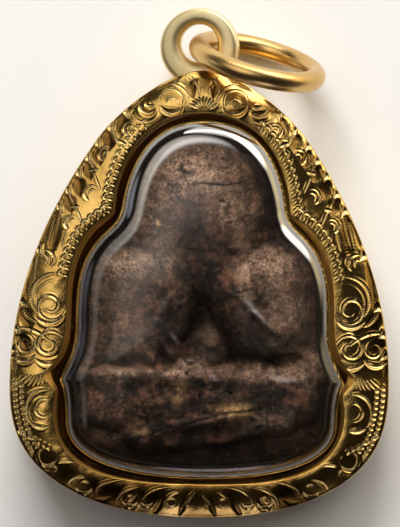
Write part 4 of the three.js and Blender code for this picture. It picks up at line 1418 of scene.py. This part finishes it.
# %% The figure's grid, from the middle out to the cover's wall
CLAY_PRESS = 0.05  # the clay all but touches the cover's wall
FIGURE_STATIONS = 700
FIGURE_RINGS = 136
SWAY = 2.4
clay_line = cover_outline(FIGURE_STATIONS)
clay_angles = np.arctan2(clay_line[:, 1], clay_line[:, 0])
clay_rim = reach(offset(clay_line, -COVER_WALL - CLAY_PRESS), clay_angles)[:, None]
clay_radius = clay_rim * (1 - (1 - np.linspace(0.001, 1, FIGURE_RINGS)) ** 1.35)[None]
clay_x, clay_y = clay_radius * np.cos(clay_angles)[:, None], clay_radius * np.sin(clay_angles)[:, None]
sway_x = layered_noise(clay_x, clay_y, SWAY, 71, 3)
sway_y = layered_noise(clay_x, clay_y, SWAY, 83, 3)
share_x = (clay_x + 0.45 * sway_x) / FIGURE_HALF
share_y = (clay_y + 0.45 * sway_y) / FIGURE_TOP
print("The figure is about", round(2 * FIGURE_HALF, 1), "by", round(2 * FIGURE_TOP, 1), "mm")

# %% Heights of the forms, with a rounded rim
FIGURE_SLAB = 4.1
FIGURE_RELIEF = 3.1
FIGURE_ROUND = 2.4
FIGURE_SIDE = 1.8
full = FIGURE_SLAB + FIGURE_RELIEF * relief(share_x, share_y)
inwards = np.clip((clay_rim - clay_radius) / FIGURE_ROUND, 0, 1)
clay_level = FIGURE_FOOT + FIGURE_SIDE + (full - FIGURE_SIDE) * np.sqrt(1 - (1 - inwards) ** 2)
print("The forms are", (clay_level.max() - FIGURE_FOOT).round(2), "mm thick at most")

# %% Folds, lumps, pits and cracks: widths and heights in millimetres
LUMP_WIDTH, LUMP_HEIGHT = 2.6, 0.28
FINE_WIDTH, FINE_HEIGHT = 0.55, 0.13
PIT_WIDTH, PIT_DEPTH = 0.9, 0.22
CRACK_DEPTH = 0.2
lumps = layered_noise(clay_x, clay_y, LUMP_WIDTH, 11, 5)
fine = layered_noise(clay_x, clay_y, FINE_WIDTH, 31, 3)
pits = smooth(0.5, 0.85, layered_noise(clay_x, clay_y, PIT_WIDTH, 51, 3))
split = cracks(clay_x + 0.3 * sway_y, clay_y + 0.3 * sway_x)
fold, crest, painted_sheen = folds(clay_x + 0.3 * sway_x, clay_y + 0.3 * sway_y)
clay_level = clay_level + fold + LUMP_HEIGHT * lumps + FINE_HEIGHT * fine
clay_level = clay_level - PIT_DEPTH * pits - CRACK_DEPTH * split
print("The clay is", (clay_level.max() - FIGURE_FOOT).round(2), "mm thick at most")

# %% Values for the clay's colours
mottled = smooth(-0.6, 0.8, 0.7 * fine + 0.6 * lumps)
# Worn: wear on the high places, and painted light on the tops that face the light and on the fold crests
worn = patch("worn", share_x, share_y) * (0.25 + 0.75 * mottled) + 0.12 * smooth(0.3, 0.9, lumps + fine)
clay_values = dict(
    worn=worn + 0.35 * crest * mottled,
    ochre=patch("ochre", share_x, share_y) * smooth(-0.3, 0.5, fine),
    # Dark: painted shade under the forms, and darker hands and middle
    dark=patch("dark", share_x, share_y) * (1 - 0.3 * mottled),
    # Pits and cracks: painted shade
    pit_shade=np.maximum(pits, split),
    # Painted highlight on the crests of some folds
    painted_sheen=painted_sheen * smooth(-0.5, 0.3, layered_noise(clay_x, clay_y, 0.7, 61, 3)),
)
print("Share of the clay that is worn:", np.clip(clay_values["worn"], 0, 1).mean().round(2))


# %% The figure as one closed mesh: relief, a side wall and a flat back
def clay_figure():
    skirt = np.stack([clay_x[:, -1], clay_y[:, -1], np.full(len(clay_angles), FIGURE_FOOT)], axis=-1)[:, None]
    top = np.stack([clay_x, clay_y, clay_level], axis=-1)
    points = np.concatenate([top, skirt, skirt * (0.001, 0.001, 1)], axis=1)
    back = np.zeros((len(clay_angles), 2))
    values = {name: np.hstack([np.clip(value, 0, 1), back]) for name, value in clay_values.items()}
    return grid_mesh("figure_relief", points, True, False, pressed_clay, values, flip=True)


figure_piece = clay_figure()

# %% [markdown]
# ## Back plate and clear back
# Both lie under the pendant and are seen only at its edge and through the dome's rim. Dressed meshes
# could replace them too, but the CAD nodes already have their true shape, so they only get materials: a
# plain polished plate, and acrylic tinted darker than clear that lets less light through, painted shade
# that darkens the floor seen under the dome's rim.

# %% Materials of the two CAD nodes that stay
plain_gold, _, _ = gold_plate("polished gold plate", "#dcb464", "#c4943f", 0.24)
# Painted shade: the clear back is tinted and passes a darker shadow, so the floor under the rim looks dark
shade_tinted_acrylic, _, _ = cast_acrylic("shade_tinted cast acrylic", "#b5b2aa", "#5c5a56")
for node, material in (("gold_back_plate", plain_gold), ("clear_back", shade_tinted_acrylic)):
    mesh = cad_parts[node].data
    mesh.materials.clear()
    mesh.materials.append(material)
    print(node, "is now", material.name)

# %% [markdown]
# ## Pieces on their bodies
# The ring swings and all else stays still. Objects could be parented by hand, but each piece is parented to
# the empty of its body in the MuJoCo model, and takes the place of the CAD node that it dresses. Then it
# follows every pose.

# %% Which body each piece rides on, and which node it replaces
for piece in case_pieces:
    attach(piece, "case")
    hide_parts("gold_case")
for piece, node, slot in (
    (cover_piece, "clear_cover", "clear_plastic"),
    (figure_piece, "clay_figure", "clay"),
):
    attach(piece, "case")
    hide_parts(node)
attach(ring_piece, "ring")
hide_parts("hanging_ring")
print("Pieces on the case:", len(case_pieces) + 2, "and one on the ring's body")

# %% [markdown]
# ## Floor
# The pendant lies on a plain pale sheet of matt paper, with a roughness of 0.8. A ground plane with a
# curved back wall is common in product pictures, but this camera looks straight down, so one flat square
# is enough. It is put a hair under the pendant.

# %% Pale paper floor
FLOOR_REACH = 1.5
FLOOR_DROP = 0.00005


def pale_floor():
    mesh = bpy.data.meshes.new("floor")
    corners = [(-FLOOR_REACH, -FLOOR_REACH), (FLOOR_REACH, -FLOOR_REACH)]
    corners += [(FLOOR_REACH, FLOOR_REACH), (-FLOOR_REACH, FLOOR_REACH)]
    mesh.from_pydata([(x, y, -FLOOR_DROP) for x, y in corners], [], [(0, 1, 2, 3)])
    paper, _, shader = new_material("pale matt paper")
    shader.inputs["Base Color"].default_value = srgb("#f1f0ed")
    shader.inputs["Roughness"].default_value = 0.8
    mesh.materials.append(paper)
    sheet = bpy.data.objects.new("floor", mesh)
    bpy.context.scene.collection.objects.link(sheet)
    return sheet


floor = pale_floor()
print("The floor is", 2 * FLOOR_REACH, "m wide")

# %% [markdown]
# ## Lamps
# Soft light from the top left gives the photograph its gentle shadows. One bright softbox would do that,
# but it would also burn a white square into the gold. So the main lamp is hidden from reflections, and
# two weak strips are the only lamps that the metal can mirror.


# %% Area lamps that face the pendant
def soft_lamp(name, place, size, power, colour):
    data = bpy.data.lights.new(name, "AREA")
    data.shape = "RECTANGLE"
    data.size, data.size_y = size
    data.energy = power
    data.color = srgb(colour)[:3]
    lamp = bpy.data.objects.new(name, data)
    bpy.context.scene.collection.objects.link(lamp)
    lamp.location = place
    lamp.rotation_euler = Vector(place).to_track_quat("Z", "Y").to_euler()
    print(name, "gives", power, "W")
    return lamp


soft_lamp("back strip", (0.06, 0.40, 0.2), (0.36, 0.1), 0.3, "#fffaf4")
soft_lamp("foot fill", (0.0, -0.42, 0.08), (0.3, 0.04), 0.03, "#eceaff")
soft_lamp("soft top", (-0.08, 0.38, 0.36), (0.28, 0.2), 2.3, "#ffffff").visible_glossy = False

# %% [markdown]
# ## What the gold and the dome mirror
# Polished gold shows hardly any colour of its own: it shows the room. A picture of a room could light it,
# but no picture is needed. The room is dim, and a few soft round glows stand for its windows and pale
# walls. Each glow is full inside one angle from its direction and gone past another.

# %% Glows, with their directions, angles in degrees, power and colour
GLOWS = [
    dict(glow="window", towards=(-0.33, 0.36, 0.87), full=11, gone=30, power=1.15, colour="#fff4e2"),
    dict(glow="haze", towards=(-0.1, 0.3, 0.95), full=4, gone=15, power=0.9, colour="#f4f4ff"),
    dict(glow="left haze", towards=(-0.3, 0.0, 0.95), full=4, gone=12, power=0.45, colour="#fffaf0"),
    dict(glow="top", towards=(0.2, 0.88, 0.32), full=18, gone=28, power=1.5, colour="#fffaf0"),
    dict(glow="key", towards=(0.58, 0.7, 0.36), full=14, gone=24, power=2.8, colour="#fffcf6"),
    dict(glow="right", towards=(0.86, 0.36, 0.14), full=8, gone=24, power=1.4, colour="#ffe9b8"),
    dict(glow="left", towards=(-0.9, 0.15, 0.25), full=4, gone=16, power=0.8, colour="#eceeff"),
    dict(glow="foot", towards=(0.04, -0.9, 0.3), full=2, gone=11, power=2.4, colour="#f2ecff"),
]
print("Glows in the room:", [row["glow"] for row in GLOWS])


# %% A dim room with the glows added one by one
def studio():
    world = bpy.data.worlds.new("studio")
    bpy.context.scene.world = world
    world.use_nodes = True
    tree = world.node_tree
    direction = add_node(tree, "TexCoord").outputs["Generated"]
    height = add_node(tree, "SeparateXYZ", {"Vector": direction}).outputs["Z"]
    walls = [(0.0, "#5c5450"), (0.25, "#352f2c"), (0.6, "#1f1c1c")]
    light = add_node(tree, "ValToRGB", {0: height}, stops=walls).outputs[0]
    for row in GLOWS:
        towards = {0: direction, 1: Vector(row["towards"]).normalized()}
        along = add_node(tree, "VectorMath", towards, dict(operation="DOT_PRODUCT")).outputs["Value"]
        gone, full = (math.cos(math.radians(row[key])) for key in ("gone", "full"))
        edge = {"Value": along, "From Min": gone, "From Max": full}
        amount = add_node(tree, "MapRange", edge, dict(interpolation_type="SMOOTHSTEP")).outputs[0]
        tint = [channel * row["power"] for channel in srgb(row["colour"])[:3]]
        added = {0: amount, 1: tint, 2: light}
        light = add_node(tree, "VectorMath", added, dict(operation="MULTIPLY_ADD")).outputs[0]
    background = next(n for n in tree.nodes if n.type == "BACKGROUND")
    tree.links.new(light, background.inputs[0])
    return tree


room = studio()
print("The room has", len(room.nodes), "nodes")

# %% [markdown]
# ## Finish
# Blender's newer view transforms soften bright colours for film-like pictures. Gold looks grey under
# them, so the plain Standard transform is used.

# %% View transform
bpy.context.scene.view_settings.view_transform = "Standard"
print("View transform:", bpy.context.scene.view_settings.view_transform)
